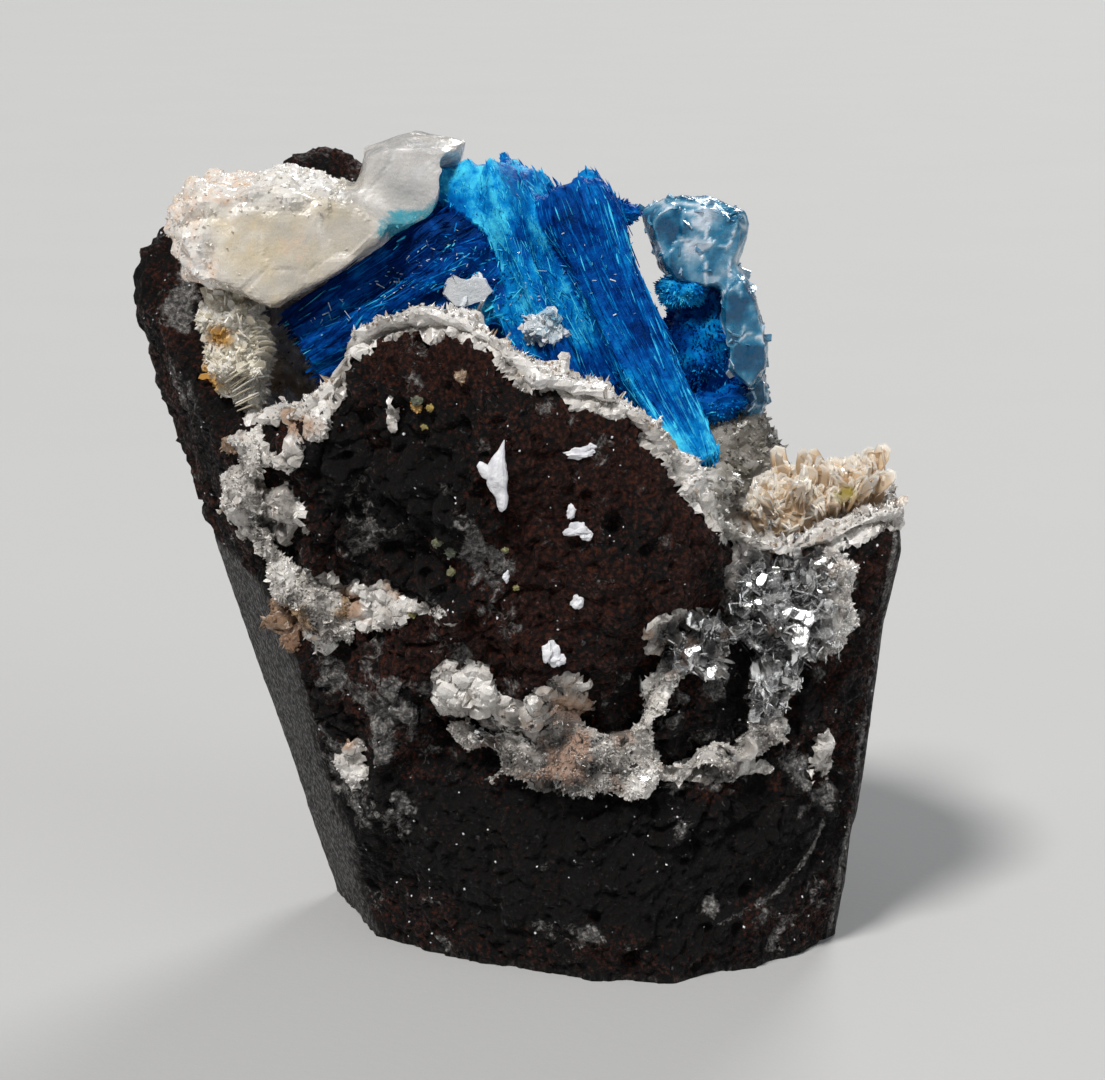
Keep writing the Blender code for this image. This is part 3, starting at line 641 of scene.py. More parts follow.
def crags(points, from_crust):
    """How far the broken rock stands out: in blocks of three sizes, in lumps, and near the crust."""
    crag = 0.45 + 0.9 * near(points, CRAGGY, 0.5) + 0.4 * (points[:, 1] > 0)
    bent = points + 0.45 * rough(points, 1.8, 3, 5)[:, None]
    _, border, own = grains(bent, 2.1, 3)
    height = crag * (0.55 * (own - 0.5) * ramp(border, 0.0, 0.2) - 0.3 * (1 - ramp(border, 0.0, 0.12)))
    _, border, own = grains(bent, 0.95, 21)
    height += crag * 0.42 * (own - 0.5) * ramp(border, 0.0, 0.25) - 0.12 * (1 - ramp(border, 0.0, 0.2))
    _, border, own = grains(points, 0.5, 25)
    height += 0.26 * (own - 0.5) * ramp(border, 0.0, 0.3)
    height += crag * 0.3 * rough(points, 3.4, 2, 11) + 0.12 * rough(points, 0.6, 2, 17) + 0.05
    height += 0.6 * near(points, DEEP_CRAGS, 0.5) * rough(points, 1.7, 3, 13)
    return height + 0.45 * (1 - ramp(from_crust, 0.2, 1.8))


def filmed(points):
    """Where the grey film lies: in its patches and in a lace on the back; along the right cut it is a
    painted highlight on the edge.
    """
    lace = 0.55 * rough(points, 1.6, 4, 45)
    film = np.maximum(0.75 * near(points, FILMS, 0.7), 0.45 * near(points, THIN_FILMS, 0.8)) + lace
    film = film * np.minimum(1, 3 * near(points, FILMS + THIN_FILMS, 1.0))
    film = np.maximum(film, 0.95 * near(points, SAW_EDGE_FILM, 0.5) + 0.4 * lace)
    film = np.maximum(film, 0.8 * along(points, VEINLET, 0.3) + 0.5 * lace)
    film = np.maximum(film, 0.1 * (points[:, 1] > 4) + lace)
    # A pale line along the right cut's front edge: a painted highlight, not film.
    arris_highlight = 1 - ramp(np.abs(from_cut(points, SAWN_RIGHT) + 0.5), 0.1, 0.35)
    return np.maximum(film, arris_highlight * (points[:, 1] < -3) * (0.75 + 0.6 * lace))


def rock():
    """The basalt: broken into lumps and ledges, pitted and gritty, but flat where it was sawn.

    It swells a little where the crust laps over its rim, so that no groove shows there.
    """
    def in_front(centre, normal):
        return centre[1] < 0 and normal.y < 0.3 and centre[2] > 0.4 and normal.z < 0.9

    points, triangles = remeshed("basalt_matrix", 0.43, in_front)
    points = relaxed(points, triangles, 1)
    from_crust = np.full(len(points), FAR)
    ahead = np.flatnonzero(points[:, 1] < 2)
    crust_points, _ = remeshed("stilbite_crust", 0.5)
    from_crust[ahead] = distance_to(tree_of(crust_points), points[ahead])
    sawn = sawn_share(points)
    points = raised(points, triangles, crags(points, from_crust) * (1 - sawn))
    points, pit = pitted((points, triangles), sawn)
    points[:, 2] = np.where(points[:, 2] < 0.25, 0.0, points[:, 2])
    film = filmed(points)
    # Less rust, so darker: on dark rock, and as painted shade towards the bottom of the front and inside
    # the pits.
    rust = 0.42 + 0.52 * near(points, RUSTY, 0.3) - 0.4 * near(points, DARK_ROCK_AND_LOW_SHADE, 0.5)
    rust = rust - 0.15 * ramp(-points[:, 2], -12.0, -8.0) + 0.35 * rough(points, 3.0, 3, 40) - 0.4 * pit
    fleck = 0.55 + 0.6 * rough(points, 3.0, 2, 50) + 0.5 * near(points, DEEP_CRAGS, 0.5)
    piece(
        "basalt_rock", (points, triangles), basalt_look(), "basalt", "basalt_matrix", smooth=True,
        sawn=sawn * ramp(1 - film, 0.1, 0.4), film=film, rust=rust, fleck=fleck,
    )
    return points, triangles, from_crust


def pitted(surface, sawn, count=900):
    """Round pits where gas bubbles were. Returns the moved points and how deep in a pit each is."""
    rng = np.random.default_rng(5)
    points = surface[0]
    places, out = scattered(surface, count, rng)
    radii = 0.2 + 0.6 * rng.random(count) ** 4
    depth = np.zeros(len(points))
    push = np.zeros_like(points)
    for place, direction, radius in zip(places, out, radii):
        close = np.flatnonzero(np.abs(points - place).max(axis=1) < radius * 1.2)
        inside = 1 - ramp(np.linalg.norm(points[close] - place, axis=1) / radius, 0.3, 1.1)
        inside *= 1 - 0.8 * sawn[close]
        push[close] -= direction * (inside * radius * 1.1)[:, None]
        depth[close] = np.maximum(depth[close], inside)
    return points + push, depth


def skin(rock_surface, cover, thick, seed):
    """A crust of small lumps over the rock's front, where cover is over a half. It sinks at its borders."""
    points, triangles, from_crust = rock_surface
    ahead = points[:, 1] < 0
    share = np.zeros(len(points))
    share[ahead] = cover(points[ahead], from_crust[ahead])
    keep = (share[triangles] > 0.38).all(axis=1)
    used, renumbered = np.unique(triangles[keep], return_inverse=True)
    share = share[used]
    out = normals_of(points, triangles)[used]
    points = points[used]
    away, _, _ = grains(points, 0.5, seed)
    lumps = 0.16 * (0.5 - away) + 0.3 * rough(points, 1.3, 3, seed + 5)
    rise = ramp(share, 0.42, 0.75)
    points = points + out * (thick * rise + lumps * rise - 0.14 * (1 - rise))[:, None]
    return points, renumbered.reshape(-1, 3)


def spray_field(points):
    """At each point, the way that the cavansite's fibres run, and which spray it is in."""
    ways, scores = [], []
    for spray in SPRAYS.values():
        foot, tip = np.array(spray["foot"]), np.array(spray["tip"])
        narrow, broad = spray["radii"]
        axis = unit(tip - foot)
        length = np.linalg.norm(tip - foot)
        apex = foot - axis * narrow * length / (broad - narrow)
        t = (points - foot) @ axis
        radial = np.linalg.norm(points - foot - t[:, None] * axis, axis=1)
        width = narrow + (broad - narrow) * np.clip(t / length, 0, 1)
        overrun = np.maximum(0, -t) + np.maximum(0, t - length)
        scores.append(radial / width + overrun / 2.5)
        ways.append(unit(points - apex))
    best = np.argmin(scores, axis=0)
    return np.stack(ways)[best, np.arange(len(points))], best


def fibre_ridges(points, ways, best):
    """Ridges that run along the fibres, coarse and fine."""
    anchor = np.array([spray["foot"] for spray in SPRAYS.values()])[best]
    offset = points - anchor
    run = np.einsum("ij,ij->i", offset, ways)[:, None]
    cross = offset - run * ways * 0.93
    return 0.5 * noise(cross, 1.1, 71) + 0.35 * noise(cross, 0.5, 72) + 0.2 * noise(cross, 0.27, 73)


# A painted highlight on the middle of the fan, as a spot.
PAINTED_HIGHLIGHT_SPOT = ((-0.5, 38.0, 4.0, 3.0),)


def blue_tone(points, best):
    """How pale the cavansite is: deep at the left, cerulean at the fan's top and in the column's foot, with
    a painted highlight in the fan's middle.
    """
    z = points[:, 2]
    base = np.choose(best, (0.46, 0.57, 0.3)) + 0.44 * ramp(-z, -35.5, -30.0) * (best == COLUMN)
    base = base + (0.16 * ramp(z, 38.5, 43.5) - 0.2 * ramp(-z, -37.5, -34.5)) * (best == FAN)
    return base + 0.14 * near(points, PAINTED_HIGHLIGHT_SPOT, 0.8) + 0.22 * rough(points, 2.2, 3, 80)


# How far a needle's end may stand off the surface, and spots where the needles are felted.
NEEDLE_REACH = 0.35
FELT = ((0.0, 38.6, 4.2, 3.2), (-2.5, 40.6, 3.0, 2.2), (-7.5, 37.3, 2.0, 1.0), (-1.5, 44.5, 3.5, 2.0))


def laid_needles(surface, count, rng, weight):
    """Fine needles that lie along the fibres, or every way where they are felted."""
    tree = tree_of(surface[0])
    places, out = scattered(surface, count, rng, weight)
    ways, best = spray_field(places)
    felt = np.maximum(near(places, FELT, 0.7) * rng.random(count), 0.8 * (rng.random(count) < 0.05))
    outward = np.einsum("ij,ij->i", ways, out)
    along_surface = ways - out * (0.85 * outward)[:, None]
    directions = unit(unit(along_surface) + (0.05 + 1.1 * felt)[:, None] * rng.normal(size=(count, 3)))
    end_on = ramp(np.abs(outward), 0.45, 0.8)
    directions = unit(directions * (1 - 0.7 * end_on)[:, None] + ways * end_on[:, None])
    length = (0.7 + 3.0 * rng.random(count) ** 1.7) * (1 - 0.6 * felt) * (1 - 0.72 * end_on)
    length = length * (1 - 0.45 * (best == FAN) * ramp(places[:, 2], 39.5, 43.0))
    width = rng.uniform(0.06, 0.17, count) * (1 + 0.5 * end_on)
    thickness = width * rng.uniform(0.5, 1.0, count)
    half = directions * (length / 2)[:, None]
    over_tip = distance_to(tree, places + half) > NEEDLE_REACH
    over_foot = distance_to(tree, places - half) > NEEDLE_REACH
    length = np.where(over_tip | over_foot, 0.35 * length, length)
    back = np.where(over_tip | (end_on > 0.5), 0.8, np.where(over_foot, 0.2, 0.5)) * length
    places = places - directions * back[:, None] - out * (width * 0.15)[:, None]
    tone = blue_tone(places, best) + rng.normal(0.02, 0.14, count) + 0.3 * felt
    # A few needles painted palest cyan: painted glints.
    tone = np.where(rng.random(count) < 0.03, 0.98, tone)
    return stood(NEEDLE, places, directions, sized(width, thickness, length), rolls(rng, count), tone)


def leaned(points):
    """The column, and the fan's right side with it, moved to the left, most at the top."""
    x, _, z = points.T
    from_column = x - (10.4 - 0.373 * (z - 29.6))
    share = ramp(from_column, -8.0, -1.5)
    shift = np.zeros_like(points)
    shift[:, 0] = -share * (0.6 + 1.3 * ramp(z, 29.0, 43.0))
    shift[:, 2] = 0.6 * share * (1 - ramp(z, 29.0, 34.5))
    return points + shift


def foot_plates(rng, count=70):
    """The bright six-sided plates in which the column's fibres end at its foot."""
    foot, tip = (np.array(SPRAYS["column"][end]) for end in ("foot", "tip"))
    directions = unit(unit(foot - tip) + 0.16 * rng.normal(size=(count, 3)))
    places = foot + rng.normal(size=(count, 3)) * (0.45, 0.45, 0.5) - directions * 0.9
    width, length = rng.uniform(0.25, 0.5, count), rng.uniform(0.8, 1.4, count)
    sizes = sized(width, width * 0.35, length)
    return stood(LARGE_BLADE, places, directions, sizes, rolls(rng, count), rng.uniform(0.55, 0.95, count))


# Where the blue swells to meet what is beside it: a centre, a reach and a shift.
BLUE_SWELLINGS = (
    ((-4.6, -0.5, 43.6), 3.6, (-1.2, 0.0, 0.9)),
    ((-3.0, -1.2, 44.6), 3.4, (-1.8, -0.5, 0.9)),
    ((-4.4, -2.5, 41.2), 3.0, (-0.5, -0.3, 0.7)),
    ((3.4, -1.0, 45.2), 2.2, (0.3, 0.0, 0.5)),
    ((10.2, -8.4, 29.8), 2.0, (0.3, -0.3, -0.2)),
)


def cavansite():
    """The three sprays: ribbed along their fibres, and covered with needles."""
    rng = np.random.default_rng(31)
    points, triangles = remeshed("cavansite_cluster", 0.24)
    points = relaxed(points, triangles, 4)
    top = ramp(points[:, 2], 40.5, 43.5)[:, None]
    points = swollen(points * (1 - top) + relaxed(points, triangles, 50) * top, BLUE_SWELLINGS)
    ways, best = spray_field(points)
    ridges = fibre_ridges(points, ways, best)
    out = normals_of(points, triangles)
    side_on = 1 - ramp(np.abs(np.einsum("ij,ij->i", ways, out)), 0.4, 0.8)
    ridged = (0.32 + 0.12 * (best == COLUMN)) * side_on * (1 - 0.65 * top[:, 0] * (best == FAN))
    lumps = (1 - side_on) * 0.25 * rough(points, 1.3, 3, 78)
    points = points + out * (ridged * ridges + lumps - 0.05 + 0.45 * top[:, 0])[:, None]
    parts = [(points, triangles, blue_tone(points, best) + 0.22 * ridges)]
    surface = points, triangles
    parts.append(laid_needles(surface, 10500, rng, lambda centres, _: centres[:, 2] > 28.5))
    parts.append(foot_plates(rng))
    points, triangles, tone = joined(parts)
    piece(
        "cavansite_sprays", (leaned(points), triangles), cavansite_look(), "cavansite",
        "cavansite_cluster", tone=tone,
    )
    return leaned(surface[0])


# Felted lumps on the ball and beside the column: a centre, radii, a tone and a number of needles.
FELT_LUMPS = (
    ((9.7, 0.4, 38.5), (1.4, 1.0, 1.0), 0.72, 700),
    ((5.6, -2.1, 43.2), (1.55, 0.9, 0.75), 0.5, 320),
    ((12.0, 1.4, 31.6), (1.8, 1.3, 1.1), 0.5, 400),
)


def rosette():
    """The ball behind the column, with needles that radiate from its middle, and felted lumps."""
    rng = np.random.default_rng(32)
    centre = np.array(ROSETTE_CENTRE)
    points, triangles = remeshed("cavansite_rosette", 0.24)
    points = relaxed(points, triangles, 2)
    bases = [(points, triangles, 0.5 + 0.25 * rough(points, 1.4, 3, 91), centre, 3000)]
    for seed, (middle, radii, tone, count) in enumerate(FELT_LUMPS):
        bases.append((*blob(middle, radii, 40 + seed, 0.3), tone, np.array(middle), count))
    parts = []
    for points, triangles, tone, middle, count in bases:
        parts.append((points, triangles, tone))
        places, _ = scattered((points, triangles), count, rng)
        directions = unit(unit(places - middle) + 0.35 * rng.normal(size=(count, 3)))
        length, width = rng.uniform(0.3, 0.9, count), rng.uniform(0.07, 0.16, count)
        places = places - directions * (length * 0.65)[:, None]
        parts.append(stood(
            NEEDLE, places, directions, sized(width, width * 0.8, length), rolls(rng, count),
            np.mean(tone) + 0.2 * rough(places, 1.6, 2, 92) + rng.normal(0, 0.12, count),
        ))
    points, triangles, tone = joined(parts)
    piece(
        "cavansite_ball", (points, triangles), cavansite_look("cavansite_behind"), "cavansite",
        "cavansite_rosette", tone=tone,
    )


# Spots on the sheaf, as x, z, half width and half height, and swellings as in the blue.
TEAL_TINTS = ((-6.3, 42.9, 1.7, 0.9), (-4.6, 43.2, 0.7, 1.2))
SHEAF_STAINS = ((-12.2, 42.0, 1.6, 1.0), (-16.5, 38.5, 1.4, 1.0))
PLATE_SWELLINGS = (
    ((-4.0, -2.0, 46.5), 3.0, (0.5, 0.0, 0.1)), ((-5.5, -4.0, 43.0), 3.0, (0.5, 0.0, -0.3)),
)


def sheaf():
    """The large cream plate and the grey one beside it, with sugary rims."""
    rng = np.random.default_rng(41)
    points, triangles, away = lumpy("stilbite_sheaf", 0.25, 3, 1.4, 61)
    x, _, z = points.T
    rim = np.maximum(ramp(-x, 15.4, 18.2), ramp(z, 43.2, 44.6) * (x < -10.5))
    lumps = 0.8 * (0.55 - away) + 0.2 * rough(points, 0.9, 2, 62)
    bent = points * (1.0, 0.6, 0.8) + 0.35 * rough(points, 3.0, 2, 63)[:, None]
    _, border, level = grains(bent, 3.0, 64)
    facets = 0.3 * (level - 0.5) * ramp(border, 0.0, 0.12) + 0.07 * rough(points, 1.6, 3, 65)
    points = raised(points, triangles, rim * lumps + (1 - rim) * facets - 0.12)
    tone = 0.55 + 0.16 * rough(points, 2.2, 4, 66) + 0.4 * rim + 0.2 * (level - 0.5)
    tone = tone + 0.22 * (1 - ramp(border, 0.0, 0.05)) * (1 - rim)
    grey = ramp(x, -12.0, -6.5)
    warm = 0.55 * (1 - grey) * (1 - 0.6 * rim) + 0.25 * rough(points, 3.0, 3, 69)
    points = swollen(points, PLATE_SWELLINGS)
    stain = np.where(x < -15.0, 0.45 * rim, 0)
    stain = np.maximum(stain, 0.45 * near(points, SHEAF_STAINS, 0.8))

    def on_rim(centres, _):
        left = ramp(-centres[:, 0], 15.0, 18.0)
        top = ramp(centres[:, 2], 43.2, 44.6) * (centres[:, 0] < -10.0)
        return np.maximum(left, top) + 0.006

    sizes = ((0.1, 0.32), STOUT, (0.12, 0.35))
    grown = druse((points, triangles), 1100, rng, SUGAR, sizes, 0.6, on_rim, tones=(0.7, 1.1))
    stain = np.concatenate([stain, 0.45 * (grown[0][:, 0] < -15.0)])
    warm = np.concatenate([warm, np.full(len(grown[0]), 0.2)])
    points, triangles, tone = joined([(points, triangles, tone), grown])
    look = crystal_look(
        "cream_crystal", 0.25,
        ((0.3, 0.31, 0.32), (0.46, 0.455, 0.445), (0.62, 0.6, 0.58), (0.9, 0.88, 0.86)),
        (0.1, 0.36), stain=(0.82, 0.58, 0.42), warmth=(0.68, 0.56, 0.36), blue=(0.05, 0.33, 0.42),
        cloud=2.2, coat=0.5,
    )
    piece(
        "sheaf_plates", (points, triangles), look, "cream_stilbite", "stilbite_sheaf",
        tone=tone, stain=stain, warm=warm, blue=0.85 * near(points, TEAL_TINTS, 0.6),
    )


# Stacked plates: the first one's foot, its direction, its way to the next, a count, a step and a size.
STACKS = (
    ((-15.9, -6.2, 32.4), (0.9, -0.2, 0.5), (-0.3, 0.1, 0.9), 9, 0.26, (1.5, 0.12, 1.5)),
    ((-15.0, -5.6, 35.4), (0.8, -0.3, 0.3), (-0.2, 0.5, 0.8), 7, 0.3, (1.4, 0.12, 1.3)),
)
WALL_STAINS = ((-18.0, 33.8, 1.2, 1.4), (-17.0, 36.6, 0.9, 0.9))


def stack(rng, place, direction, faced, count, step, size):
    """Flat plates one behind another, each a little turned."""
    k = np.arange(count)[:, None]
    faced = np.array(faced, float)
    places = np.array(place) + k * step * unit(faced[None]) + rng.normal(0, 0.05, (count, 3))
    directions = np.array(direction) + 0.06 * rng.normal(size=(count, 3)) + 0.02 * (k - count / 2) * faced
    sizes = np.array(size) * rng.uniform(0.75, 1.1, (count, 3)) * (1, 0.8, 1)
    faced = np.broadcast_to(faced, (count, 3))
    return stood(LARGE_BLADE, places, directions, sizes, None, rng.uniform(0.4, 0.9, count), faced)


def wall():
    """The yellowish sugary column below the sheaf, with stacked plates at its foot."""
    rng = np.random.default_rng(42)
    points, triangles, away = lumpy("stilbite_wall", 0.22, 3, 0.8, 67)
    points = raised(points, triangles, 0.45 * (0.5 - away) + 0.1)
    surface = points, triangles
    parts = [(*surface, 0.8 + 0.2 * rough(points, 1.2, 3, 68))]
    sizes = ((0.14, 0.4), STOUT, (0.2, 0.55))
    parts.append(druse(surface, 1500, rng, SUGAR, sizes, 0.5, tones=(0.5, 1.1)))
    parts.append(druse(surface, 200, rng, BLADE, ((0.3, 0.8), (0.12, 0.2), (0.5, 1.1)), 0.6))
    parts += [stack(rng, *plates) for plates in STACKS]
    points, triangles, tone = joined(parts)
    look = crystal_look(
        "wall_crystal", 0.3,
        ((0.3, 0.27, 0.22), (0.54, 0.48, 0.36), (0.76, 0.7, 0.57), (0.93, 0.9, 0.84)),
        (0.1, 0.35), stain=(0.6, 0.33, 0.08), cloud=1.0,
    )
    piece(
        "wall_druse", (points, triangles), look, "cream_stilbite", "stilbite_wall",
        tone=tone, stain=0.8 * near(points, WALL_STAINS, 0.8),
    )


def druse_look(name, clear=0.35, stain=(0.45, 0.3, 0.17)):
    greys = ((0.035, 0.032, 0.031), (0.2, 0.184, 0.17), (0.58, 0.54, 0.5), (0.92, 0.885, 0.845))
    olive = (0.17, 0.155, 0.115)
    return crystal_look(name, clear, greys, (0.08, 0.35), stain=stain, warmth=olive, cloud=0.9)


# Where the crust is olive and bare between the ball and the shoulder, and where it rises there.
SADDLE = ((13.0, 28.6, 2.2, 3.0),)
SADDLE_TOP = ((11.8, 30.4, 2.6, 1.8),)
# So far back that the whole depth of the hollow counts as its front.
ANY_DEPTH = 20.0
# The glassy clump on the rim that the column's foot stands in: its centre and radii.
FOOT_CLUMP = ((10.6, -9.3, 28.5), (1.5, 1.5, 1.25))


def crust():
    """The druse that lines the hollow: a white spiky band along the rim, tan beneath."""
    rng = np.random.default_rng(51)
    points, triangles, away = lumpy("stilbite_crust", 0.35, 2, 0.8, 101)
    out = normals_of(points, triangles)
    lift = 0.35 * (0.45 - away) + 0.3 * rough(points, 1.6, 3, 102) - 0.12
    lift = lift + 0.1 * ramp(-out[:, 1], 0.3, 0.9) + 0.8 * near(points, SADDLE_TOP, 0.6, ANY_DEPTH)
    points = points + out * lift[:, None]
    # Paler towards the front rim: the white band's own colour, and painted light that lifts the shade on
    # the lip, which faces forward and down.
    tone = 0.58 + 0.32 * ramp(-points[:, 1], 6.0, 9.0) + 0.26 * rough(points, 1.5, 4, 103)
    surface = points, triangles
    parts = [(*surface, tone)]

    def upper(centres, normals):
        rim = ramp(-centres[:, 1], 5.0, 9.0) + ramp(centres[:, 0], 11.0, 14.0)
        return ramp(normals[:, 2] - 0.6 * normals[:, 1], 0.0, 0.5) * (0.2 + np.minimum(rim, 1.0))

    parts.append(druse(surface, 4700, rng, SUGAR, ((0.12, 0.34), STOUT, (0.16, 0.45)), 0.6, upper))
    parts.append(druse(surface, 1000, rng, SPIKE, ((0.08, 0.22), STOUT, (0.35, 0.85)), 0.5, upper))
    parts.append(druse(surface, 260, rng, BLADE, ((0.25, 0.6), FLAT, (0.4, 1.0)), 0.6, upper))
    clump = blob(*FOOT_CLUMP, 90, 0.4)
    parts.append((*clump, 0.85))
    parts.append(druse(clump, 110, rng, BLADE, ((0.3, 0.75), FLAT, (0.4, 0.9)), 0.6, sunk=0.5))
    points, triangles, tone = joined(parts)
    saddle = near(points, SADDLE, 0.5, ANY_DEPTH)
    lip_painted_light, pale = ramp(-points[:, 1], 6.0, 9.0), ramp(tone, 0.5, 0.9)
    stain = 0.42 - 0.5 * pale + 0.35 * rough(points, 2.0, 3, 104) - saddle
    # Less dirt on the lip: painted light, like the lip's paler tone.
    dirt = 0.1 + 0.3 * rough(points, 1.4, 3, 105) - 0.4 * pale - 0.5 * saddle - 0.5 * lip_painted_light
    piece(
        "crust_druse", (points, triangles), druse_look("rim_druse", 0.35), "stilbite",
        "stilbite_crust", tone=tone - 0.12 * saddle, stain=stain, dirt=dirt, warm=0.75 * saddle,
    )


# The places from which the shoulder's fans of blades spread, and its one yellow spot.
SHOULDER_HEARTS = ((15.6, -3.2, 24.6), (18.4, -3.0, 24.8), (20.2, -2.0, 24.8))
SHOULDER_STAIN = ((18.9, 27.2, 0.8, 0.6),)


def shoulder(count=460):
    """Fans of tan blades on the right rim."""
    rng = np.random.default_rng(52)
    points, triangles, away = lumpy("stilbite_shoulder", 0.25, 2, 0.9, 111)
    points = raised(points, triangles, 0.25 * (0.5 - away) - 0.25)
    surface = points, triangles
    parts = [(*surface, 0.5 + 0.25 * rough(points, 1.2, 3, 112))]

    def upper(_, normals):
        return ramp(normals[:, 2] - 0.5 * normals[:, 1], -0.2, 0.5)

    places, out = scattered(surface, count, rng, upper)
    hearts = np.array(SHOULDER_HEARTS)
    own = np.argmin(np.linalg.norm(places[:, None] - hearts[None], axis=2), axis=1)
    directions = unit(unit(places - hearts[own]) + 0.17 * rng.normal(size=(count, 3)) + 0.15 * out)
    width, thick, length = (rng.uniform(*span, count) for span in ((0.5, 1.1), (0.1, 0.2), (1.3, 2.3)))
    places = places - directions * (length * 0.75)[:, None]
    points, triangles, tone = stood(
        LARGE_BLADE, places, directions, sized(width, thick, length), rolls(rng, count),
        rng.uniform(-0.15, 0.2, count),
    )
    tips = np.tile(LARGE_BLADE[0][:, 2] ** 2, count)
    parts.append((points, triangles, 0.32 + 0.62 * tips + tone))
    points, triangles, tone = joined(parts)
    look = crystal_look(
        "tan_blades", 0.5,
        ((0.36, 0.22, 0.11), (0.64, 0.43, 0.24), (0.82, 0.64, 0.44), (0.97, 0.92, 0.84)),
        (0.03, 0.18), stain=(0.45, 0.36, 0.06), cloud=0.9, dents=0.02,
    )
    piece(
        "shoulder_blades", (points, triangles), look, "tan_stilbite", "stilbite_shoulder",
        tone=tone, stain=0.7 * near(points, SHOULDER_STAIN, 0.8),
    )


def rear_plates():
    """The pale plates behind the column, tinted by the blue that shows through them."""
    rng = np.random.default_rng(53)
    points, triangles = remeshed("stilbite_rear_plates", 0.2)
    points = relaxed(points, triangles, 2)
    bent = points * (1.0, 0.7, 0.6) + 0.3 * rough(points, 2.0, 2, 120)[:, None]
    _, border, own = grains(bent, 1.9, 121)
    lift = 0.35 * (own - 0.5) * ramp(border, 0.0, 0.12) + 0.08 * rough(points, 0.9, 3, 122) - 0.1
    points = raised(points, triangles, lift)
    tone = 0.41 - 0.2 * ramp(-points[:, 2], -40.5, -38.5) + 0.55 * rough(points, 1.4, 4, 123)
    tone = tone + 0.5 * (1 - ramp(border, 0.0, 0.1))
    parts = [(points, triangles, tone)]
    sizes = ((0.3, 0.9), (0.1, 0.2), (0.3, 0.8))
    parts.append(druse((points, triangles), 140, rng, BLADE, sizes, 0.4, sunk=0.75, tones=(0.3, 0.8)))
    points, triangles, tone = joined(parts)
    look = crystal_look(
        "blue_plates", 0.28,
        ((0.004, 0.08, 0.18), (0.02, 0.19, 0.34), (0.17, 0.37, 0.52), (0.66, 0.76, 0.86)),
        (0.08, 0.3), cloud=0.9, coat=0.3,
    )
    piece("rear_plates_pale", (points, triangles), look, "blue_stilbite", "stilbite_rear_plates", tone=tone)


# The druse in the breaks of the front, as x, z, half width and half height: white and grey patches,
# their clear, pink and tan parts, and the rock left bare among them.
WHITE_PATCHES = (
    (-9.5, 12.0, 0.9, 1.7), (-2.9, 17.5, 1.9, 2.0), (2.4, 17.2, 2.1, 1.9), (-0.7, 15.6, 2.2, 1.8),
    (17.3, 26.4, 2.6, 1.2), (-14.2, 31.3, 2.2, 1.8), (-7.8, 21.9, 2.2, 1.6), (-11.0, 33.3, 0.9, 1.3),
    (-6.8, 33.7, 0.4, 1.2),
)
GREY_PATCHES = (
    (2.9, 13.0, 3.8, 2.0), (6.2, 13.6, 1.7, 1.7), (11.0, 12.3, 3.7, 0.7), (9.2, 21.0, 2.2, 1.8),
    (14.6, 22.7, 3.2, 4.8), (14.4, 16.0, 1.0, 2.4), (-14.5, 26.8, 2.5, 2.6), (-11.5, 21.5, 1.8, 2.7),
    (17.4, 12.6, 0.7, 1.7), (-4.6, 22.2, 1.6, 0.9),
)
CLEAR_PARTS = ((14.4, 21.0, 3.2, 5.2), (9.6, 20.4, 1.6, 1.8))
PINK_PARTS = ((1.8, 14.0, 3.6, 2.4), (9.4, 20.6, 2.2, 1.8))
TAN_PARTS = (
    (-9.9, 13.2, 0.7, 0.6), (3.4, 16.8, 1.6, 1.6), (-12.8, 20.4, 1.1, 1.2), (-9.6, 21.6, 0.9, 0.8),
    (-12.0, 33.0, 1.2, 1.0),
)
BARE_PARTS = (
    (5.5, 17.3, 1.1, 1.8), (10.2, 16.4, 2.8, 2.0), (12.6, 14.0, 0.6, 0.5), (-13.4, 31.8, 0.8, 0.7),
)


def front_cover(points, from_crust):
    """How thickly the front is covered in druse: in its patches, and where the crust laps over it."""
    patch = np.maximum(near(points, WHITE_PATCHES, 0.45), near(points, GREY_PATCHES, 0.45))
    lap = 1.15 * (1 - ramp(from_crust, 0.4, 1.2))
    ragged = 0.55 * rough(points, 2.2, 4, 150)
    share = np.maximum(0.95 * patch, 0.85 * lap) + ragged * np.minimum(1, 3 * np.maximum(patch, lap))
    return share - 0.9 * near(points, BARE_PARTS, 0.3)


def druse_shade(points):
    """How pale the druse on the front is."""
    grey = 0.2 * near(points, GREY_PATCHES, 0.4) * (1 - near(points, WHITE_PATCHES, 0.4))
    shade = 0.76 - grey - 0.76 * near(points, CLEAR_PARTS, 0.5) - 0.3 * near(points, PINK_PARTS, 0.6)
    return shade + 0.3 * rough(points, 1.7, 4, 133)


def druse_stain(points):
    tan = np.maximum(0.75 * near(points, TAN_PARTS, 0.8), 0.42 * near(points, PINK_PARTS, 0.8))
    return tan + 0.08 + 0.36 * rough(points, 1.5, 3, 134)


def facing_front(_, normals):
    return ramp(-normals[:, 1], -0.2, 0.4)


def druse_piece(name, surface, grown, look, node, dirt):
    """A druse on the front: a surface, and crystals whose tones are added to the front's shade."""
    points, triangles, tone = joined([(*surface, 0.0), *grown])
    on_top = np.arange(len(points)) >= len(surface[0])
    dirt = dirt + 0.45 * rough(points, 1.3, 4, 136) - 0.35 * on_top
    piece(
        name, (points, triangles), look, "stilbite", node,
        tone=druse_shade(points) + tone, stain=druse_stain(points), dirt=dirt,
    )


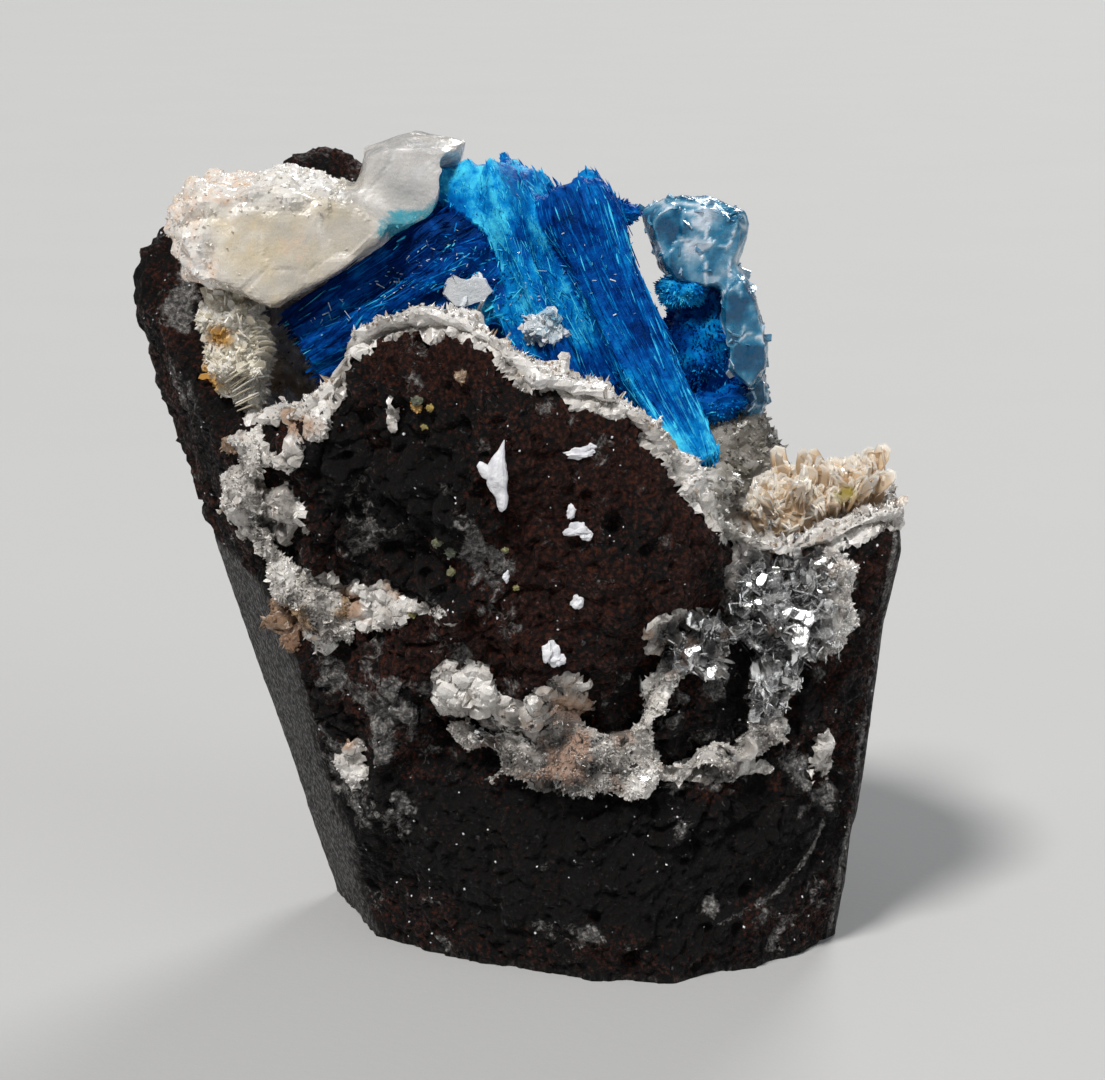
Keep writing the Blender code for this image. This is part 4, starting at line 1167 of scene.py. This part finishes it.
def front_druse(rock_surface):
    """The thin white and grey druse that fills the breaks of the front."""
    rng = np.random.default_rng(56)
    surface = skin(rock_surface, front_cover, 0.3, 151)

    def on_skin(centres, _):
        return 0.02 + ramp(rough(centres, 1.1, 3, 152), -0.6, 0.4)

    sizes = ((0.1, 0.3), STOUT, (0.12, 0.38))
    grown = [druse(surface, 5600, rng, SUGAR, sizes, 0.65, on_skin, tones=(-0.1, 0.25))]
    look = druse_look("front_druse", 0.3, stain=(0.5, 0.34, 0.24))
    druse_piece("front_druse", surface, grown, look, None, 0.12)
    return surface


# Blades that catch the light: x, z and size. Their flat sides face between the camera and the key.
GLINTS = (
    (16.1, 22.4, 1.3), (15.6, 22.0, 0.9), (16.5, 20.2, 1.2), (16.0, 19.8, 0.8), (10.3, 20.6, 0.8),
    (10.4, 19.8, 0.7), (13.6, 24.6, 0.8), (17.2, 25.2, 0.7), (12.4, 22.6, 0.6), (7.0, 13.6, 0.6),
)
GLINT_WAY = (-0.16, -0.83, 0.54)


def glints(points, rng, copies=3):
    """Bright blades in small groups, a little ahead of the druse."""
    spots = np.repeat(GLINTS, copies, axis=0)
    count = len(spots)
    places = np.array([on_front(points, x, z, 0.8) for x, z, _ in spots])
    places = places + rng.normal(0, 0.2, (count, 3)) * (1, 0.4, 1) - (0, 0.7, 0)
    faced = unit(np.array(GLINT_WAY) + 0.03 * rng.normal(size=(count, 3)))
    directions = unit(np.cross(faced, rng.normal(size=(count, 3))))
    size = spots[:, 2] * rng.uniform(0.5, 1.0, count)
    sizes = sized(0.7 * size, 0.15 * size, 1.1 * size)
    places = places - directions * (size * 0.55)[:, None]
    return stood(LARGE_BLADE, places, directions, sizes, None, rng.uniform(0.7, 1.0, count), faced)


def vein(front_surface):
    """The thicker druse below the middle and at the right, and the clear blades at the right."""
    rng = np.random.default_rng(54)
    points, triangles, away = lumpy("stilbite_vein", 0.26, 4, 0.7, 131)
    sunk = 1.1 * near(points, BARE_PARTS, 0.3) + 0.25
    points = raised(points, triangles, 0.3 * (0.5 - away) + 0.3 * rough(points, 1.8, 3, 132) - sunk)
    surface = points, triangles

    def sugary_part(centres, normals):
        return facing_front(centres, normals) * (1 - 0.75 * near(centres, CLEAR_PARTS, 0.4))

    def clear_part(centres, normals):
        return facing_front(centres, normals) * (near(centres, CLEAR_PARTS, 0.4) + 1e-6)

    sizes = ((0.1, 0.3), STOUT, (0.14, 0.4))
    grown = [druse(surface, 3700, rng, SUGAR, sizes, 0.7, sugary_part, tones=(-0.1, 0.25))]
    look = druse_look("vein_druse", 0.35, stain=(0.5, 0.34, 0.26))
    druse_piece("vein_crystals", surface, grown, look, "stilbite_vein", 0.18)

    sizes = ((0.4, 1.0), (0.07, 0.14), (0.8, 2.2))
    parts = [druse(surface, 330, rng, LARGE_BLADE, sizes, 0.9, clear_part, 0.45)]
    parts.append(druse(front_surface, 260, rng, LARGE_BLADE, sizes, 0.9, clear_part, 0.45))
    sizes = ((0.2, 0.5), (0.1, 0.2), (0.4, 1.0))
    parts.append(druse(surface, 220, rng, BLADE, sizes, 0.9, facing_front, 0.4))
    parts.append(glints(points, rng))
    points, triangles, tone = joined(parts)
    look = crystal_look(
        "clear_blades", 0.93, ((0.42, 0.42, 0.43), (0.62, 0.62, 0.62), (0.94, 0.94, 0.93)), (0.03, 0.12),
        dents=0.012,
    )
    piece("vein_clear_blades", (points, triangles), look, "stilbite", tone=tone)


def edge():
    """The druse down the left edge of the front."""
    rng = np.random.default_rng(55)
    points, triangles, away = lumpy("stilbite_edge", 0.22, 4, 0.75, 141)
    lift = 0.32 * (0.5 - away) + 0.35 * rough(points, 1.6, 3, 144) - 0.15
    surface = raised(points, triangles, lift), triangles
    sizes = ((0.1, 0.32), STOUT, (0.14, 0.42))
    grown = [druse(surface, 2400, rng, SUGAR, sizes, 0.7, tones=(-0.1, 0.25))]
    sizes = ((0.2, 0.5), FLAT, (0.3, 0.8))
    grown.append(druse(surface, 160, rng, BLADE, sizes, 0.8, tones=(0.0, 0.3)))
    druse_piece("edge_druse", surface, grown, druse_look("edge_druse", 0.42), "stilbite_edge", 0.2)


def blob(centre, radii, seed, unevenness=0.25, sides=20, bands=12):
    """A small rounded lump, as points and triangles."""
    turns = np.linspace(0, 2 * math.pi, sides, endpoint=False)
    rises = np.linspace(0, math.pi, bands)[1:-1]
    out = [(0, 0, -1)]
    for r in rises:
        out += [(math.cos(t) * math.sin(r), math.sin(t) * math.sin(r), -math.cos(r)) for t in turns]
    out = np.array([*out, (0, 0, 1)], float)
    swell = 1 + unevenness * rough(out + seed * 3.1, 0.9, 3, seed)
    faces = [(0, 1 + (k + 1) % sides, 1 + k) for k in range(sides)]
    for band in range(len(rises) - 1):
        faces += ring_faces(1 + band * sides, 1 + (band + 1) * sides, sides)
    last, top = 1 + (len(rises) - 1) * sides, len(out) - 1
    faces += [(last + k, last + (k + 1) % sides, top) for k in range(sides)]
    return np.array(centre) + out * radii * swell[:, None], np.array(faces)


def on_front(points, x, z, reach=0.45):
    """The frontmost of the points near x and z."""
    away = np.hypot(points[:, 0] - x, points[:, 2] - z)
    close = np.flatnonzero(away < max(reach, away.min() + 0.05))
    return points[close[np.argmin(points[close, 1])]]


# Small lumps of calcite, as x, z, half width and half height.
CALCITE = (
    (3.5, 31.9, 0.62, 0.24), (3.95, 32.2, 0.28, 0.2), (2.9, 28.5, 0.25, 0.42), (3.3, 27.6, 0.5, 0.38),
    (3.75, 27.4, 0.3, 0.26), (1.8, 20.6, 0.34, 0.6), (2.2, 20.2, 0.36, 0.3), (3.3, 23.5, 0.3, 0.34),
    (-0.6, 24.8, 0.2, 0.24),
)
# The drop's middle line from its tip down, as x, z and half width, and its left arm's.
DROP = (
    (-0.64, 32.7, 0.03), (-0.78, 32.1, 0.2), (-0.95, 31.6, 0.4), (-1.06, 31.1, 0.56), (-1.0, 30.5, 0.58),
    (-0.86, 29.9, 0.42), (-0.78, 29.4, 0.33), (-0.8, 29.0, 0.26), (-0.84, 28.8, 0.08),
)
DROP_ARM = ((-2.1, 31.35, 0.14), (-1.92, 31.25, 0.28), (-1.6, 31.0, 0.4), (-1.2, 30.8, 0.42))


def swept(route, depth, front, sides=12):
    """A closed lump round a line of x, z and half width, half sunk in what is behind it."""
    route = np.array(route)
    steps = np.linspace(0, len(route) - 1, 5 * len(route))
    x, z, half = (np.interp(steps, np.arange(len(route)), column) for column in route.T)
    turns = np.linspace(0, 2 * math.pi, sides, endpoint=False)
    flat = unit(np.stack([np.gradient(z), -np.gradient(x)], axis=1))
    half = half[:, None]
    across = half * np.cos(turns)
    points = np.stack([
        x[:, None] + across * flat[:, :1],
        front - half * np.sin(turns) * depth,
        z[:, None] + across * flat[:, 1:],
    ], axis=-1).reshape(-1, 3)
    points = points + 0.05 * rough(points, 0.5, 2, 160)[:, None]
    return points, tube_faces(len(steps), sides)


def calcite(rock_surface):
    """White drops and specks of calcite on the front."""
    rng = np.random.default_rng(61)
    points = rock_surface[0]
    front = on_front(points, -1.0, 30.6, 0.9)[1]
    parts = [(*swept(DROP, 0.85, front), 0.8), (*swept(DROP_ARM, 0.7, front), 0.8)]
    for index, (x, z, wide, high) in enumerate(CALCITE):
        place = np.array((x, on_front(points, x, z)[1] + 0.05, z))
        parts.append((*blob(place, (wide, min(wide, high) * 0.7, high), index + 1, 0.65), 0.8))

    def on_broken(centres, _):
        return (1 - sawn_share(centres)) * (centres[:, 2] > 0.5)

    sizes = ((0.06, 0.24), STOUT, (0.06, 0.2))
    parts.append(druse(rock_surface[:2], 900, rng, SUGAR, sizes, 0.4, on_broken))
    points, triangles, tone = joined(parts)
    look = Look("calcite_white")
    white = look.colours(look.cloud(0.5), ((0.3, (0.5, 0.5, 0.54)), (0.7, (0.78, 0.78, 0.8))))
    look.finish(white, look.cloud(0.15), 0.06, look.ramp(look.cloud(0.3), 0.3, 0.7, 0.3, 0.6))
    piece("calcite_drops", (points, triangles), look.material, "calcite", "calcite_drop", tone=tone)


# White crystals on the blue, as x and z: a ragged plate, a tuft of blades, and two groups of small pale
# laths that are painted glints, one along the sheaf's border, from its start to its end, and one in the
# middle.
BLUE_PLATE, BLUE_TUFT = (-2.1, 39.2), (0.5, 37.7)
BORDER_GLINT_LATHS, MIDDLE_GLINT_LATHS, GLINT_LATH_COUNT = ((-11.6, 37.4), (-3.4, 42.2)), (0.3, 39.6), 55
RAGGED_PLATE = tabular(
    (
        (-0.22, 0.08), (-0.05, 0.0), (0.2, 0.14), (0.36, 0.18), (0.4, 0.3), (0.5, 0.44), (0.42, 0.62),
        (0.37, 0.8), (0.2, 0.86), (0.02, 0.78), (-0.1, 0.84), (-0.27, 1.0), (-0.34, 0.86), (-0.4, 0.4),
    ),
    0.93,
)


def white_on_blue(blue_points, plate_bits=9):
    """The white plate and the tuft that sit on the front of the blue, and bright needles round them, which
    are painted glints.
    """
    rng = np.random.default_rng(62)
    middle = on_front(blue_points, *BLUE_PLATE, 1.0)
    foot, way = middle[None] + (0.0, -0.15, -1.0), np.array([(0.0, -0.1, 1.0)])
    size = np.array([(3.2, 0.35, 2.1)])
    parts = [stood(RAGGED_PLATE, foot, way, size, None, 0.8, (0.12, -1.0, 0.1))]
    places = middle + rng.uniform(-1.0, 1.0, (plate_bits, 3)) * (1.3, 0.1, 0.7)
    directions = unit(rng.normal(size=(plate_bits, 3)) * (1.0, 0.3, 0.8))
    width, length = rng.uniform(0.3, 0.8, plate_bits), rng.uniform(0.4, 1.0, plate_bits)
    sizes = sized(width, width * 0.2, length)
    parts.append(stood(LARGE_BLADE, places, directions, sizes, rolls(rng, plate_bits), 0.65))
    heart = on_front(blue_points, *BLUE_TUFT, 1.0) + (0, 0.1, 0)
    lump = blob(heart, (0.85, 0.5, 0.85), 64, 0.6)
    parts.append((*lump, 0.4))
    parts.append(druse(lump, 110, rng, BLADE, ((0.2, 0.6), (0.12, 0.3), (0.25, 0.8)), 0.7))
    # Pale laths as painted glints: along the sheaf's border and in the middle.
    start, end = np.array(BORDER_GLINT_LATHS)
    border = start + (end - start) * rng.random(GLINT_LATH_COUNT)[:, None]
    border = border + rng.normal(0, 0.35, (GLINT_LATH_COUNT, 2))
    centre = np.array(MIDDLE_GLINT_LATHS) + rng.normal(0, 1.0, (GLINT_LATH_COUNT, 2)) * (2.6, 1.3)
    places = np.array([on_front(blue_points, x, z, 0.3) for x, z in (*border, *centre)])
    count = len(places)
    directions = unit(rng.normal(size=(count, 3)) * (1.0, 0.2, 0.7))
    width, length = rng.uniform(0.04, 0.12, count), 0.12 + 0.45 * rng.random(count) ** 2
    parts.append(stood(
        LATH, places - (0, 0.03, 0), directions, sized(width, width * 0.6, length), rolls(rng, count),
        rng.uniform(0.1, 0.8, count),
    ))
    points, triangles, tone = joined(parts)
    look = crystal_look(
        "white_blades", 0.25, ((0.1, 0.45, 0.66), (0.6, 0.66, 0.7), (0.9, 0.91, 0.92)), (0.08, 0.3)
    )
    piece("white_on_blue", (points, triangles), look, "stilbite", tone=tone)


# Tinted grains on the front, as x, z, radius and hue.
TINTED = (
    (-5.3, 33.8, 0.34, 0.5), (-4.8, 33.9, 0.26, 0.42), (-4.9, 33.5, 0.2, 0.35), (-3.3, 36.0, 0.42, 0.85),
    (-5.5, 35.0, 0.3, 0.05), (-5.3, 34.5, 0.25, 0.1), (-4.3, 26.2, 0.35, 0.1), (-3.7, 25.6, 0.4, 0.05),
    (-3.9, 24.9, 0.3, 0.15), (-0.9, 26.0, 0.25, 0.2), (-6.2, 22.2, 0.3, 0.3), (-13.9, 20.4, 1.0, 0.95),
    (-13.4, 19.6, 0.8, 1.0), (-14.2, 21.2, 0.6, 0.9), (-16.5, 30.6, 0.8, 0.9), (-0.4, 24.4, 0.22, 0.3),
)
# Colours by hue: olive green, olive, ochre, orange, tan and brown.
TINTS = (
    (0.05, (0.16, 0.19, 0.13)), (0.3, (0.35, 0.33, 0.12)), (0.45, (0.6, 0.42, 0.1)),
    (0.55, (0.62, 0.25, 0.03)), (0.8, (0.42, 0.3, 0.2)), (1.0, (0.3, 0.17, 0.1)),
)
TINTED_DIRT = (0.1, 0.07, 0.05)


def tinted_grains(rock_surface):
    """Small ochre, olive and tan lumps with tiny crystals."""
    rng = np.random.default_rng(63)
    parts = []
    for index, (x, z, radius, hue) in enumerate(TINTED):
        place = on_front(rock_surface[0], x, z)
        lump = blob(place, (0.8 * radius, 0.5 * radius, 0.7 * radius), 70 + index, 0.5)
        parts.append((*lump, hue))
        sizes = ((0.2 * radius, 0.5 * radius), (0.4, 1.0), (0.3 * radius, 0.8 * radius))
        parts.append(druse(lump, 36, rng, SUGAR, sizes, 0.8, tones=(hue - 0.1, hue + 0.1)))
    points, triangles, tone = joined(parts)
    look = Look("tinted_grains", Transmission_Weight=0.25, IOR=1.5, Roughness=0.3)
    grit = look.cloud(0.25)
    dirt = look.ramp(grit, 0.35, 0.65, 0.0, 0.5)
    look.finish(look.mix(dirt, look.colours(look.mask("tone"), TINTS), TINTED_DIRT), grit, 0.08)
    piece("tinted_grains", (points, triangles), look.material, "stilbite", tone=tone)


# Each lamp's direction, strength, spread in degrees, and colour.
LAMPS = {
    "key": ((-0.4, -0.75, 1.1), 3.5, 12.0, (1.0, 0.985, 0.96)),
    "fill": ((0.9, -0.7, 0.55), 0.7, 45.0, (0.93, 0.97, 1.0)),
    "rim": ((0.35, 1.0, 0.75), 1.4, 20.0, (1.0, 1.0, 1.0)),
}
WORLD_STRENGTH = 0.2


def stage():
    """A pale floor, soft lights and the photo's camera."""
    bpy.ops.mesh.primitive_plane_add(size=4.0)
    floor = bpy.context.object
    floor.name = "floor"
    floor.data.materials.append(floor_look())

    world = bpy.data.worlds.new("studio")
    world.use_nodes = True
    background = world.node_tree.nodes["Background"]
    background.inputs["Color"].default_value = (0.9, 0.92, 0.95, 1.0)
    background.inputs["Strength"].default_value = WORLD_STRENGTH
    bpy.context.scene.world = world
    for name, (way, strength, spread, colour) in LAMPS.items():
        light = bpy.data.lights.new(name, "SUN")
        light.energy, light.angle, light.color = strength, math.radians(spread), colour
        obj = bpy.data.objects.new(name, light)
        obj.rotation_euler = Vector(way).to_track_quat("Z", "Y").to_euler()
        bpy.context.scene.collection.objects.link(obj)

    camera = bpy.data.objects.new("camera", bpy.data.cameras.new("camera"))
    camera.data.lens, camera.data.sensor_width = LENS, SENSOR
    camera.data.clip_start, camera.data.clip_end = 0.01, 20.0
    tilt = math.radians(VIEW_ELEVATION)
    target = Vector(VIEW_TARGET) * MM
    back = Vector((0.0, -math.cos(tilt), math.sin(tilt)))
    camera.location = target + back * VIEW_DISTANCE * MM
    camera.rotation_euler = back.to_track_quat("Z", "Y").to_euler()
    bpy.context.scene.collection.objects.link(camera)
    bpy.context.scene.camera = camera
    bpy.context.scene.view_settings.view_transform = "Standard"


def main():
    stage()
    rock_surface = rock()
    blue_points = cavansite()
    white_on_blue(blue_points)
    rosette()
    sheaf()
    wall()
    crust()
    shoulder()
    rear_plates()
    vein(front_druse(rock_surface))
    edge()
    calcite(rock_surface)
    tinted_grains(rock_surface)


main()
